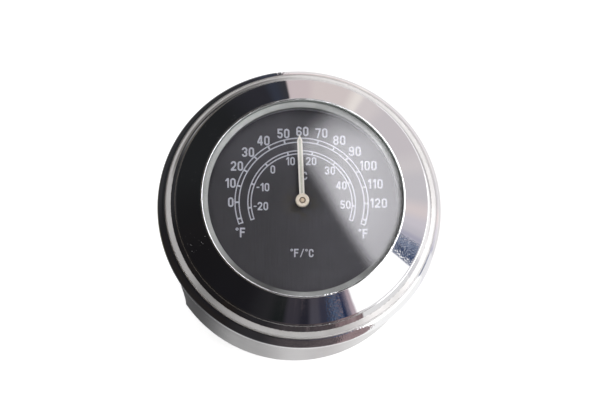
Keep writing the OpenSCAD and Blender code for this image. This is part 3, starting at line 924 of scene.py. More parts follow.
@dataclass(frozen=True)
class WornMetal(Finish):
    """Bright small metal: gilt, brass or steel, with stains and fine working marks."""

    stain: Colour = (0.5, 0.4, 0.2)
    stained: float = 0.3
    marks: Triple = (1.0, 1.0, 1.0)
    mark_size: float = 0.25
    blotch_size: float = 1.4
    relief: float = 0.004

    def shader(self, graph: Graph) -> bpy.types.Node:
        """Lays the nodes of the small metal."""
        here = Place(graph)
        blotch = here.noise(self.blotch_size, 4.0)
        mark = here.noise(self.mark_size, 3.0, self.marks)
        colour = graph.mix(blotch.step(0.45, 0.8) * self.stained, self.colour, self.stain)
        rough = self.roughness + 0.14 * (blotch - 0.5) + 0.12 * (mark - 0.5)
        return self.principled(graph, Base_Color=self.lacquer_and_shade(graph, here, colour), Roughness=rough,
                               Normal=graph.bump(mark, self.relief))

    def lacquer_and_shade(self, graph: Graph, here: Place, colour: Signal) -> Signal:
        """The metal's colour under its lacquer, with any painted shade; a plain metal has none."""
        return colour


@dataclass(frozen=True)
class HubGilt(WornMetal):
    """Gilt hub with old lacquer, painted shade in its sunk ring, and brown on the staff's end."""

    ring: tuple[float, float] = (0.36, 0.53)
    end_w: float = 0.12
    sunk_shade: Colour = (0.20, 0.13, 0.07)
    end: Colour = (0.85, 0.69, 0.50)

    def lacquer_and_shade(self, graph: Graph, here: Place, colour: Signal) -> Signal:
        """The gilt's colour, browned on the staff's end and darkened in the sunk ring as painted shade."""
        on_staff = here.reach.step(self.ring[0], self.ring[0] - self.end_w)
        # The sunk ring's dark brown is painted shade in the recess.
        return graph.layers(colour, (on_staff, self.end), (here.reach.band(*self.ring, 0.06), self.sunk_shade))


BEZEL_PLATE = PolishedPlate("polished_bezel", (0.66, 0.655, 0.665), 0.03, 1.0)
BODY_ALLOY = SatinBody("satin_body", (0.74, 0.735, 0.73), 0.26, 1.0)
SEAL = SealRing("pale_seal", (0.60, 0.585, 0.58), 0.45, 0.3, spread=0.06)
GASKET = GasketRing("lens_gasket", (0.355, 0.368, 0.358), 0.5, grain=0.18)
# Pale grey, far lighter than the ring's own dark colour: painted light, as little light reaches it.
BLACK_RING = MattRing("black_ring", (0.6, 0.6, 0.64), 0.42, spread=0.2)
GLASS = LensGlass("lens_glass", (1.0, 1.0, 1.0), 0.012)
DIAL = DialPaint("dial_black", (0.050, 0.0495, 0.057), 0.5)
PRINT = DialPrint("dial_print", (0.68, 0.70, 0.77), 0.6)
NEEDLE_GILT = WornMetal(
    "pointer_gilt", (1.0, 0.975, 0.90), 0.3, 0.05, stain=(0.78, 0.68, 0.46), stained=0.25)
NEEDLE_FILL = MattRing("pointer_fill", (0.70, 0.71, 0.60), 0.55, grain=0.12, spread=0.07)
HUB_GILT = HubGilt("hub_gilt", (1.0, 0.92, 0.77), 0.3, 0.12, stain=(0.68, 0.50, 0.30), stained=0.4)
MOVEMENT = WornMetal("movement_brass", (0.72, 0.56, 0.28), 0.32, 1.0, marks=(1.0, 14.0, 1.0))
BUSH = WornMetal("bush_brass", (0.66, 0.48, 0.22), 0.28, 1.0)
STRIP = WornMetal(
    "two_metal_strip", (0.62, 0.55, 0.44), 0.34, 1.0, stain=(0.35, 0.3, 0.26), marks=(9.0, 9.0, 1.0))
SMALL_STEEL = WornMetal("small_steel", (0.56, 0.57, 0.6), 0.25, 1.0, stain=(0.3, 0.28, 0.26))
CLAMP_STEEL = WornMetal(
    "clamp_steel", (0.60, 0.60, 0.61), 0.3, 1.0, stain=(0.33, 0.32, 0.31), stained=0.25)


# The thermometer's sub-assemblies


class Part:
    """A sub-assembly: it builds its pieces, dresses them and puts them on their bodies."""

    lathe = Lathe()
    bar_r: ClassVar[float] = 12.7
    bar_sides: ClassVar[int] = 192
    half_gap: ClassVar[float] = 0.5
    screw_y: ClassVar[float] = 16.1

    @staticmethod
    def low(node: str) -> Vector:
        """Lowest corner of a CAD node, in millimetres."""
        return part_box(node)[0] / MM

    @staticmethod
    def high(node: str) -> Vector:
        """Highest corner of a CAD node, in millimetres."""
        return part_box(node)[1] / MM

    @staticmethod
    def dress_nodes(finish: Finish, *nodes: str) -> None:
        """Gives CAD nodes that keep their own shapes a finish."""
        finish.dress(*(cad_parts[node] for node in nodes))

    @staticmethod
    def fit(piece: bpy.types.Object, body: str, finish: Finish, *nodes: str) -> None:
        """Dresses a new piece, puts it on a body and lets it stand for CAD nodes.

        Args:
            piece: The piece.
            body: The CAD body that carries it.
            finish: Its finish.
            *nodes: The CAD nodes that it replaces.
        """
        Bench.smooth(piece)
        finish.dress(piece)
        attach(piece, body)
        if nodes:
            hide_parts(*nodes)
        LOG.info("%s: %d faces", piece.name, len(piece.data.polygons))

    def bar(self, reach: float) -> bpy.types.Object:
        """Adds a rod in the handlebar's place, which reaches this far to both sides, for cutting."""
        end = Vector((reach, 0, 0))
        return Bench.rod("bar_cut", self.bar_r, -end, end, self.bar_sides)

    def build(self) -> None:
        """Builds the sub-assembly; each one has its own."""
        raise NotImplementedError


@dataclass
class Case(Part):
    """Turned case: bezel, seal, and the body with its rim and the handlebar's passage."""

    lens_bore_r: float = LENS_BORE_R
    ledge_r: float = 16.2
    ledge_h: float = 0.75
    lip_w: float = 0.3
    lip_soft: float = 0.17
    cone_w: float = 4.0
    cone_h: float = 2.9
    cone_soft: float = 0.22
    step_h: float = 0.55
    step_w: float = 0.26
    step_soft: float = 0.06
    step_foot_soft: float = 0.07
    fine_soft: float = 0.05
    seal_soft: float = 0.1
    seal_top_soft: float = 0.08
    neck_r: float = 19.4
    neck_room: float = 0.05
    neck_soft: float = 0.25
    rim_bead_r: float = 2.4
    bead_steps: int = 20
    rim_over: float = 1.95
    rim_side_h: float = 0.67
    rim_soft: float = 0.42
    rim_foot_soft: float = 0.25
    body_soft: float = 0.3
    cavity_r: float = 13.0
    bar_reach: float = 30.0
    screw_hole_r: float = 2.05
    screw_hole_over: float = 1.2
    screw_hole_sides: int = 48

    def build(self) -> None:
        """Builds and dresses the case."""
        self.bezel()
        self.seal()
        self.body()

    def bezel(self) -> None:
        """Turns the bezel: lip, sloped face, fine step and steep side."""
        lip_z, foot_z = self.high("bezel_ring").z, self.low("bezel_ring").z
        lip_r, inner_r = self.lens_bore_r + self.lip_w, self.neck_r + self.neck_room
        cone_r, cone_z = lip_r + self.cone_w, lip_z - self.cone_h
        foot_r, ledge_z = self.high("bezel_ring").x, self.low("lens_gasket").z
        neck_top = ledge_z - self.ledge_h
        outline = [
            Corner(self.ledge_r, neck_top), Corner(self.ledge_r, ledge_z, self.step_soft),
            Corner(self.lens_bore_r, ledge_z), Corner(self.lens_bore_r, lip_z, self.fine_soft),
            Corner(lip_r, lip_z, self.lip_soft), Corner(cone_r, cone_z, self.cone_soft),
            Corner(cone_r + self.step_w / 2, cone_z - self.step_h, self.step_soft),
            Corner(cone_r + self.step_w, cone_z - self.step_h, self.step_foot_soft),
            Corner(foot_r, foot_z, self.fine_soft), Corner(inner_r, foot_z), Corner(inner_r, neck_top)]
        self.fit(self.lathe.turn("bezel_turned", outline), "housing", BEZEL_PLATE, "bezel_ring")

    def seal(self) -> None:
        """Turns the pale ring between the bezel and the rim."""
        low, high = self.low("bezel_seal"), self.high("bezel_seal")
        inner_r = self.neck_r + self.neck_room
        outline = [
            Corner(inner_r, low.z), Corner(high.x, low.z, self.seal_soft),
            Corner(self.high("bezel_ring").x, high.z, self.seal_top_soft), Corner(inner_r, high.z)]
        self.fit(self.lathe.turn("seal_band", outline), "housing", SEAL, "bezel_seal")

    def body(self) -> None:
        """Turns the body and cuts the bar's passage and the screws' holes."""
        rim_r, seal_r = self.high("housing").x, self.high("bezel_seal").x
        top_z, seal_z = self.high("housing").z, self.low("bezel_seal").z
        dial_z, floor_z = self.low("dial_plate").z, self.low("movement_plate").z
        body_r = rim_r - self.rim_over
        bead_x = rim_r - self.rim_bead_r
        end = math.acos((seal_r - bead_x) / self.rim_bead_r)
        bead_z = seal_z - self.rim_bead_r * math.sin(end)
        rim_z = bead_z - self.rim_side_h
        angles = (end * i / self.bead_steps for i in range(self.bead_steps + 1))
        bead = [Corner(bead_x + self.rim_bead_r * math.cos(a), bead_z + self.rim_bead_r * math.sin(a))
                for a in angles]
        outline = [
            Corner(0.0, self.half_gap), Corner(body_r, self.half_gap, self.body_soft),
            Corner(body_r, rim_z, self.rim_foot_soft), Corner(rim_r, rim_z, self.rim_soft), *bead,
            Corner(self.neck_r, seal_z), Corner(self.neck_r, top_z, self.neck_soft),
            Corner(self.lens_bore_r, top_z), Corner(self.lens_bore_r, dial_z),
            Corner(self.cavity_r, dial_z), Corner(self.cavity_r, floor_z), Corner(0.0, floor_z)]
        body = self.lathe.turn("gauge_body", outline)
        tools = [self.bar(self.bar_reach)]
        hole_top = Vector((0, 0, self.high("clamp_screw_top").z + self.screw_hole_over))
        for side in (-1, 1):
            at = Vector((0, side * self.screw_y, 0))
            tools.append(Bench.rod("tap_cut", self.screw_hole_r, at, at + hole_top, self.screw_hole_sides))
        Bench.combine(body, tools, Join.CUT)
        self.fit(body, "housing", BODY_ALLOY, "housing")


@dataclass
class Face(Part):
    """What is seen through the glass: dial, print, black ring, gasket, needle and hub."""

    lens_lift: float = 0.006
    lens_foot_soft: float = 0.05
    lens_soft: float = 0.12
    staff_r: float = 0.35
    staff_foot_soft: float = 0.08
    staff_dome: float = 0.2
    staff_dome_h: float = 0.02
    staff_steps: int = 32
    hub_foot_r: float = 0.75
    hub_soft: float = 0.16
    hub_steps: int = 64
    groove_w: float = 0.17
    groove_depth: float = 0.3
    groove_soft: float = 0.14
    groove_foot_soft: float = 0.04

    def build(self) -> None:
        """Dresses the face's CAD nodes, and builds the lens, the hub and the staff."""
        self.dress_nodes(GASKET, "lens_gasket")
        self.dress_nodes(BLACK_RING, "spacer_ring")
        self.dress_nodes(DIAL, "dial_plate")
        self.dress_nodes(PRINT, "dial_scales", "dial_numerals")
        self.dress_nodes(NEEDLE_GILT, "pointer")
        self.dress_nodes(NEEDLE_FILL, "pointer_inlay")
        self.pane()
        self.hub()
        self.staff()

    def pane(self) -> None:
        """Turns the flat lens, a hair off its gasket, with its edges eased."""
        low, high = self.low("lens"), self.high("lens")
        foot_z = low.z + self.lens_lift
        outline = [Corner(0.0, foot_z), Corner(high.x, foot_z, self.lens_foot_soft),
                   Corner(high.x, high.z, self.lens_soft), Corner(0.0, high.z)]
        self.fit(self.lathe.turn("lens_pane", outline), "housing", GLASS, "lens")

    def hub(self) -> None:
        """Turns the needle's hub, with its raised rim and sunk ring."""
        low, high = self.low("pointer_hub"), self.high("pointer_hub")
        needle_top = self.high("pointer").z
        groove_r, groove_z = self.staff_r + self.groove_w, high.z - self.groove_depth
        outline = [
            Corner(self.staff_r, low.z), Corner(self.hub_foot_r, low.z), Corner(self.hub_foot_r, needle_top),
            Corner(high.x, needle_top), Corner(high.x, high.z, self.hub_soft),
            Corner(groove_r, high.z, self.groove_soft),
            Corner(groove_r, groove_z, self.groove_foot_soft), Corner(self.staff_r, groove_z)]
        hub = self.lathe.turn("needle_hub", outline, self.hub_steps)
        self.fit(hub, "pointer", HUB_GILT, "pointer_hub")

    def staff(self) -> None:
        """Turns the staff with its domed end."""
        low, high = self.low("staff"), self.high("staff")
        outline = [
            Corner(0.0, low.z), Corner(self.staff_r, low.z, self.staff_foot_soft),
            Corner(self.staff_r, high.z - self.staff_dome_h, self.staff_dome), Corner(0.0, high.z)]
        staff = self.lathe.turn("needle_staff", outline, self.staff_steps)
        self.fit(staff, "pointer", HUB_GILT, "staff")


@dataclass
class Movement(Part):
    """The brass movement under the dial."""

    def build(self) -> None:
        """Dresses the movement's CAD nodes."""
        self.dress_nodes(MOVEMENT, "coil_collet", "coil_post", "movement_plate", "movement_bridge",
                         "movement_pillars")
        self.dress_nodes(BUSH, "front_bush", "rear_bush")
        self.dress_nodes(STRIP, "bimetal_coil")
        self.dress_nodes(SMALL_STEEL, "pillar_screws", "plate_screws")


@dataclass
class Clamp(Part):
    """The clamp's lower half with its washers and screws."""

    bar_reach: float = 20.0
    width: float = 16.0
    wall: float = 4.0
    ear_t: float = 5.0
    round_r: float = 7.5
    round_steps: int = 24
    edge: float = 0.35
    edge_steps: int = 3
    screw_r: float = 2.0
    screw_room: float = 0.2
    hole_sides: int = 64
    head_r: float = 3.5
    head_soft: float = 0.35
    head_top_soft: float = 0.1
    head_room: float = 0.3
    hole_depth: float = 6.0
    socket_flats: float = 3.0
    socket_depth: float = 2.2
    shank_l: float = 2.2
    shank_under: float = 0.05
    thread_pitch: float = 0.7
    thread_depth: float = 0.36
    thread_soft: float = 0.03
    thread_end: float = 0.5
    tip_h: float = 0.45
    tip_w: float = 0.5
    tip_foot_w: float = 0.1
    knurls: int = 36
    knurl_depth: float = 0.12
    knurl_edge: float = 0.02
    weld: float = 0.01
    flat_angle: float = 0.5

    def build(self) -> None:
        """Builds the clamp's pieces and dresses its washers."""
        self.saddle()
        for side, end in ((1, "top"), (-1, "bottom")):
            self.screw(side, end)
        self.dress_nodes(CLAMP_STEEL, "clamp_washers")

    def saddle(self) -> None:
        """Builds the lower half from a rounded block and two ears, and bores it."""
        low, high = self.low("clamp_cap"), self.high("clamp_cap")
        block_y, reach = self.bar_r + self.wall, high.y - self.width / 2
        ear_low = high.z - self.ear_t
        saddle = Bench.block("clamp_saddle", self.width, 2 * block_y, low.z, high.z)
        with Bench.editing(saddle):
            Bench.choose(saddle, Kind.EDGE, lambda a, b: max(a.z, b.z) < low.z + 1 and abs(a.x - b.x) > 1)
            bpy.ops.mesh.bevel(offset=self.round_r * MM, segments=self.round_steps, affect="EDGES")
        tools = [Bench.rod("ear", self.width / 2, Vector((0, y, ear_low)), Vector((0, y, high.z)))
                 for y in (-reach, reach)]
        tools.append(Bench.block("ear_bar", self.width, 2 * reach, ear_low, high.z))
        Bench.combine(saddle, tools, Join.ADD)
        cuts = [self.bar(self.bar_reach)]
        for side in (-1, 1):
            at = Vector((0, side * self.screw_y, 0))
            cuts.append(Bench.rod("screw_cut", self.screw_r + self.screw_room,
                                  at - Vector((0, 0, self.hole_depth)), at, self.hole_sides))
            cuts.append(Bench.rod("head_cut", self.head_r + self.head_room,
                                  at + Vector((0, 0, low.z - 1)), at + Vector((0, 0, ear_low))))
        Bench.combine(saddle, cuts, Join.CUT)
        with Bench.editing(saddle):
            bpy.ops.mesh.remove_doubles(threshold=self.weld * MM)
            bpy.ops.mesh.dissolve_limited(angle_limit=math.radians(self.flat_angle))
            bpy.ops.mesh.select_all(action="SELECT")
            bpy.ops.mesh.delete_loose()
            Bench.choose(saddle, Kind.EDGE,
                         lambda a, b: self.on_side(a, b) or self.on_ear(a, b, block_y, reach))
            bpy.ops.mesh.bevel(offset=self.edge * MM, segments=self.edge_steps, affect="EDGES",
                               clamp_overlap=True)
        self.fit(saddle, "clamp_cap", BODY_ALLOY, "clamp_cap")

    def on_side(self, a: Vector, b: Vector) -> bool:
        """Whether an edge lies on one of the saddle's two sides."""
        return min(abs(a.x), abs(b.x)) > self.width / 2 - self.weld

    def on_ear(self, a: Vector, b: Vector, block_y: float, reach: float) -> bool:
        """Whether an edge is the upper or lower rim of an ear.

        Args:
            a: The edge's start.
            b: The edge's end.
            block_y: Half of the block's width.
            reach: Distance of the ears' round ends from the middle.

        Returns:
            True for the ear's rims.
        """
        def far(p: Vector) -> bool:
            """Whether a point is out on the ear's round end."""
            return abs(p.y) > block_y + 0.02 and math.hypot(p.x, abs(p.y) - reach) > self.width / 2 - 0.05
        level = abs(a.z - b.z) < self.weld
        return level and (far(a) or far(b)) and abs(a.z + self.half_gap + self.ear_t / 2) > 2

    def in_groove(self, at: Vector) -> bool:
        """Whether a place on the head's side lies in one of the knurl's grooves."""
        return math.atan2(at.y, at.x) % (math.tau / self.knurls) < math.pi / self.knurls

    def screw(self, side: int, end: str) -> None:
        """Turns a socket-head screw with a grooved thread, and knurls its head.

        Args:
            side: 1 for the 12 o'clock side and -1 for the 6 o'clock side.
            end: The CAD name's last word.
        """
        node = "clamp_screw_" + end
        low, high = self.low(node), self.high(node)
        head_top = self.low("clamp_washers").z
        outline = [Corner(0.0, low.z), Corner(self.head_r, low.z, self.head_soft),
                   Corner(self.head_r, head_top, self.head_top_soft),
                   Corner(self.screw_r - self.shank_under, head_top)]
        z = head_top + self.shank_l
        while z + self.thread_pitch < high.z - self.thread_end:
            outline.append(Corner(self.screw_r, z, self.thread_soft))
            outline.append(Corner(self.screw_r - self.thread_depth, z + self.thread_pitch / 2,
                                  self.thread_soft))
            z += self.thread_pitch
        outline += [Corner(self.screw_r - self.tip_foot_w, high.z - self.tip_h),
                    Corner(self.screw_r - self.tip_w, high.z), Corner(0.0, high.z)]
        piece = Lathe(arc_steps=4).turn("clamp_bolt_" + end, outline, 2 * self.knurls)
        hexagon = Bench.rod("socket_cut", self.socket_flats / math.sqrt(3), Vector((0, 0, low.z - 1)),
                            Vector((0, 0, low.z + self.socket_depth)), 6)
        Bench.combine(piece, [hexagon], Join.CUT)
        with Bench.editing(piece):
            Bench.choose(piece, Kind.FACE, lambda at, normal: at.xy.length > self.head_r - 0.1
                         and abs(normal.z) < 0.1 and self.in_groove(at))
            bpy.ops.mesh.inset(thickness=self.knurl_edge * MM, depth=-self.knurl_depth * MM,
                               use_individual=True)
        piece.data.transform(Matrix.Translation((0, side * self.screw_y * MM, 0)))
        self.fit(piece, "screw_" + end, CLAMP_STEEL, node)


# Studio


class Ray(Enum):
    """Kinds of ray that a stage object can be hidden from."""

    CAMERA = "visible_camera"
    DIFFUSE = "visible_diffuse"
    GLOSSY = "visible_glossy"
    TRANSMISSION = "visible_transmission"
    SHADOW = "visible_shadow"


@dataclass(frozen=True)
class Panel:
    """A cloth of the tent, from the end of the one before to its own end, in compass degrees."""

    end: float
    colour: Colour
    soft: float = 0.3


@dataclass(frozen=True)
class Row:
    """Cloths that hang side by side from a compass angle on."""

    start: float
    panels: tuple[Panel, ...]

    def colour(self, graph: Graph, angle: Signal) -> Signal:
        """The row's colour at a compass angle, with soft joints.

        Args:
            graph: The material's graph.
            angle: The angle in degrees.

        Returns:
            The colour.
        """
        start, span = self.start, self.panels[-1].end - self.start
        stops = []
        for panel in self.panels:
            stops.append(((start + panel.soft - self.start) / span, panel.colour))
            stops.append(((panel.end - panel.soft - self.start) / span, panel.colour))
            start = panel.end
        return graph.ramp((angle - self.start) / span, stops)


@dataclass(frozen=True)
class LampSide:
    """A straight side of the roof lamp: a point of it, its run, and how soft it is in millimetres."""

    point: tuple[float, float]
    run: tuple[float, float]
    soft: float

    def past(self, here: Place) -> Signal:
        """1 to the left of the side seen along its run, and 0 to its right."""
        size = math.hypot(*self.run)
        nx, ny = -self.run[1] / size, self.run[0] / size
        away = here.x * nx + here.y * ny - (self.point[0] * nx + self.point[1] * ny)
        return away.step(-self.soft / 2, self.soft / 2)


# Compass angles where cloths of the tent meet, in degrees
MOTTLE_START, MOTTLE_END, ROSE_START = -70.5, -60.0, -57.3
LIGHT_START, CLOTH_START, CLOTH_END, LIGHT_END = -54.3, -17.2, -6.2, 91.5

SHADE_SIDE = Row(-180, (
    Panel(-172, (0.0155, 0.0155, 0.0165), 3), Panel(-150, (0.010, 0.010, 0.012), 8),
    Panel(-112, (0.013, 0.013, 0.016), 9), Panel(-104, (0.027, 0.027, 0.03), 3),
    Panel(-96.5, (0.014, 0.0176, 0.0176), 1.5), Panel(-87.5, (0.052, 0.048, 0.062), 1.5),
    Panel(-82, (0.026, 0.026, 0.038), 1), Panel(-75, (0.090, 0.086, 0.110), 1.5),
    Panel(MOTTLE_START, (0.048, 0.050, 0.080), 0.6), Panel(MOTTLE_END, (0.070, 0.120, 0.21)),
    Panel(ROSE_START, (0.31, 0.275, 0.338)), Panel(LIGHT_START, (0.60, 0.49, 0.54))))
SHADE_LOW = Row(-180, (
    Panel(-120, (0.016, 0.015, 0.016), 8), Panel(-100, (0.030, 0.029, 0.032), 6),
    Panel(-78, (0.066, 0.058, 0.062), 5), Panel(-64, (0.10, 0.082, 0.088), 3),
    Panel(LIGHT_START, (0.34, 0.25, 0.26))))
LIGHT_SIDE = Row(LIGHT_START, (
    Panel(CLOTH_START, grey(1.62)), Panel(CLOTH_END, (0.95, 0.94, 0.97)),
    Panel(-3, (0.57, 0.56, 0.675), 1), Panel(0, (0.75, 0.725, 0.79), 1),
    Panel(6, (0.845, 0.80, 0.865), 2), Panel(12, (0.96, 0.86, 0.86), 2),
    Panel(27, (0.80, 0.77, 0.80), 3), Panel(33, (0.88, 0.83, 0.84), 2),
    Panel(57, (0.82, 0.765, 0.79), 4), Panel(63.5, (0.92, 0.85, 0.85), 1),
    Panel(66, (1.15, 1.08, 1.02), 0.5), Panel(84, (0.92, 0.82, 0.80), 3),
    Panel(LIGHT_END, (0.84, 0.73, 0.735)), Panel(93.5, (0.052, 0.054, 0.064)),
    Panel(100, (0.048, 0.055, 0.078), 2.5), Panel(180, (0.036, 0.036, 0.045))))

# The tent's foot: shares of a turn, from 0 at -180 degrees, and the colours there
FOOT = (
    (0.0, (0.14, 0.14, 0.145)), (0.06, (0.09, 0.09, 0.095)), (0.105, (0.35, 0.35, 0.355)),
    (0.14, (0.66, 0.66, 0.665)), (0.20, (0.58, 0.575, 0.58)), (0.25, (0.80, 0.79, 0.795)),
    (0.29, (1.06, 1.05, 1.055)), (0.36, (0.85, 0.84, 0.85)), (0.46, grey(1.06)), (0.66, grey(1.10)),
    (0.74, grey(1.0)), (0.81, grey(0.78)), (0.88, grey(0.58)), (0.95, grey(0.26)),
    (1.0, (0.16, 0.16, 0.165)))

LAMP_SIDES = (
    LampSide((42.4, 107.8), (0.546, -0.838), 4.7), LampSide((35.8, 129.9), (-0.709, -0.705), 5.5))


class TentPlace(Place):
    """A point of the tent, with its height in degrees over the horizon and the cloths' print."""

    def __init__(self, graph: Graph, mottle_size: float) -> None:
        """Reads the point's place, its height and the print, whose size is in millimetres."""
        super().__init__(graph)
        self.rise = graph.math("ARCTAN2", self.z, self.reach) * (180.0 / math.pi)
        self.mottle = self.noise(mottle_size, 2.0)


@dataclass(frozen=True)
class TentPanels(Finish):
    """What polished metal and glass mirror: a round tent with a dark side and a pale side."""

    crown_rise: float = 50.0
    roof_rise: float = 66.0
    seam: float = 3.0
    gold: Colour = (0.23, 0.20, 0.09)
    gold_arc: Arc = Arc(138.0, 178.0, 16.0)
    gold_rise: tuple[float, float] = (-62.0, -56.0)
    foot_rise: float = -47.0
    foot_lift: float = 24.0
    foot_soft: float = 30.0
    crown_colour: Colour = (1.5, 1.47, 1.42)
    crown_shade: Colour = (0.42, 0.37, 0.30)
    roof_colour: Colour = (0.02, 0.02, 0.022)
    lamp_colour: Colour = (5.95, 5.9, 6.15)
    mottle_size: float = 30.0
    grit_size: float = 12.0
    smear: Fleck = Fleck(26.0, 0.5, 0.7, 4.0, (5.0, 5.0, 1.0))

    def shader(self, graph: Graph) -> bpy.types.Node:
        """Lays the tent's walls, foot, crown and roof, and the lamp in the roof."""
        here = TentPlace(graph, self.mottle_size)
        angle, rise = here.angle, here.rise
        foot_edge = angle.step(155.0, 100.0) * angle.step(60.0, 95.0) * self.foot_lift + self.foot_rise
        gold = here.within(self.gold_arc) * rise.band(*self.gold_rise, 2.0)
        dim_side = graph.math("ABSOLUTE", angle + 10.0).step(80.0, 120.0)
        crown = rise.step(self.crown_rise, self.crown_rise + self.seam)
        roof = rise.step(self.roof_rise, self.roof_rise + self.seam)
        colour = graph.layers(
            self.wall(graph, here),
            ((foot_edge - rise).step(0.0, self.foot_soft), graph.ramp(turn_share(angle), FOOT)),
            (gold, self.gold),
            (crown, graph.mix(dim_side, self.crown_colour, self.crown_shade)),
            (roof, self.roof_colour),
            (self.lamp(here) * roof, self.lamp_colour))
        return graph.add("ShaderNodeEmission", inputs={"Color": colour, "Strength": 1.0})

    def wall(self, graph: Graph, here: TentPlace) -> Signal:
        """The wall's colour: its dark side and its pale side."""
        edge = here.angle - 4.5 * here.rise.step(18.0, 10.0)
        return graph.mix(edge.step(LIGHT_START - 0.6, LIGHT_START + 0.6),
                         self.dark_side(graph, here), self.pale_side(graph, here))

    def dark_side(self, graph: Graph, here: TentPlace) -> Signal:
        """The dark side: one row of cloths in a curved belt, and warmer gritty ones outside it.

        Args:
            graph: The material's graph.
            here: The point.

        Returns:
            The dark side's colour.
        """
        angle, rise, mottle = here.angle, here.rise, here.mottle
        middle = graph.layers(
            SHADE_SIDE.colour(graph, angle),
            (angle.band(MOTTLE_START, MOTTLE_END, 1.0) * mottle.step(0.49, 0.56), (0.15, 0.19, 0.30)),
            (angle.band(MOTTLE_START, ROSE_START, 1.0) * mottle.step(0.46, 0.40), (0.02, 0.035, 0.09)))
        grit = here.noise(self.grit_size, 3.0, (2.0, 2.0, 1.0))
        far = angle.step(-115.0, -135.0) * rise.band(-38.0, 3.0, 6.0)
        outer = graph.layers(
            SHADE_LOW.colour(graph, angle),
            (angle.step(-110.0, -75.0) * grit.step(0.56, 0.70) * 0.5, (0.62, 0.5, 0.5)),
            (angle.step(-66.0, -60.0) * grit.step(0.48, 0.38) * 0.8, (0.08, 0.06, 0.065)),
            (far * here.flecks(self.smear), (0.034, 0.024, 0.017)))
        lean = (angle + 101.0) * (angle + 101.0) * 0.0015 + rise
        return graph.mix(1 - lean.band(28.8, 34.0, 1.0), middle, outer)

    @staticmethod
    def pale_side(graph: Graph, here: TentPlace) -> Signal:
        """The pale side, which turns dark at its far end, with shadows by height.

        Args:
            graph: The material's graph.
            here: The point.

        Returns:
            The pale side's colour.
        """
        angle, rise, mottle = here.angle, here.rise, here.mottle
        left = angle.step(98.0, 112.0) * angle.step(180.0, 158.0)
        right = angle.band(CLOTH_END + 0.2, LIGHT_END, 2.0)
        white = angle.band(LIGHT_START, CLOTH_START, 1.5)
        cloth = angle.band(CLOTH_START, CLOTH_END, 0.8) * rise.band(15.6, 24.0, 0.8)
        printed = graph.layers(
            (0.11, 0.155, 0.28),
            (mottle.step(0.53, 0.58), (0.40, 0.45, 0.58)), (mottle.step(0.47, 0.43), (0.02, 0.03, 0.08)))
        return graph.layers(
            LIGHT_SIDE.colour(graph, angle),
            (angle.step(104.0, 122.0), (0.022, 0.0235, 0.025)),
            (angle.step(148.0, 178.0), (0.0155, 0.0155, 0.0165)),
            (left * rise.step(6.0, 1.0), (0.036, 0.036, 0.039)),
            (left * (rise - angle * 0.2).step(-8.0, -2.0), (0.118, 0.118, 0.124)),
            (right * rise.step(20.0, 26.0), (0.97, 0.955, 0.965)),
            (right * rise.step(4.0, -4.0) * 0.8, (0.96, 0.94, 0.945)),
            (right * rise.band(-20.0, -10.0, 8.0) * 0.3, (0.4, 0.39, 0.39)),
            (right * rise.step(-27.0, -35.0), (1.25, 1.23, 1.23)),
            (white * rise.step(14.0, 4.0), grey(1.05)),
            (cloth, printed))

    @staticmethod
    def lamp(here: Place) -> Signal:
        """The wedge of the overhead lamp that the glass mirrors, from 0 to 1."""
        first, second = (side.past(here) for side in LAMP_SIDES)
        dim_x = (1 - 0.3 * here.x.step(42.0, 36.0)) * (1 - 0.08 * here.x.step(46.0, 53.0))
        dim_y = (1 - 0.6 * here.y.step(124.0, 133.0)) * (1 - 0.12 * here.y.step(114.0, 99.0))
        return first * second * dim_x * dim_y


@dataclass(frozen=True)
class FloorPaper(Finish):
    """Pale paper floor, white to the camera where no shadow falls."""

    lift: float = 0.35
    fibre_size: float = 1.2
    fibre_shade: float = 0.985

    def shader(self, graph: Graph) -> bpy.types.Node:
        """Lays the nodes of the floor."""
        fibre = Place(graph).noise(self.fibre_size, 4.0)
        colour = graph.mix(fibre, self.colour, scaled(self.colour, self.fibre_shade))
        paper = self.principled(graph, Base_Color=colour, Specular_IOR_Level=0.0)
        seen = Signal(graph, graph.add("ShaderNodeLightPath").outputs["Is Camera Ray"])
        glow = graph.add("ShaderNodeEmission", inputs={"Color": grey(1.0), "Strength": seen * self.lift})
        both = graph.add("ShaderNodeAddShader")
        graph.tree.links.new(paper.outputs[0], both.inputs[0])
        graph.tree.links.new(glow.outputs[0], both.inputs[1])
        return both


@dataclass(frozen=True)
class Lamp:
    """A soft round lamp: its place and size in millimetres, and its power in watts."""

    name: str
    place: Triple
    size: float
    power: float


LAMPS = (
    Lamp("lamp_over", (-60, -40, 700), 500, 1.9), Lamp("lamp_right", (600, -100, 500), 400, 2.6),
    Lamp("lamp_left", (-500, -350, 450), 500, 0.25))


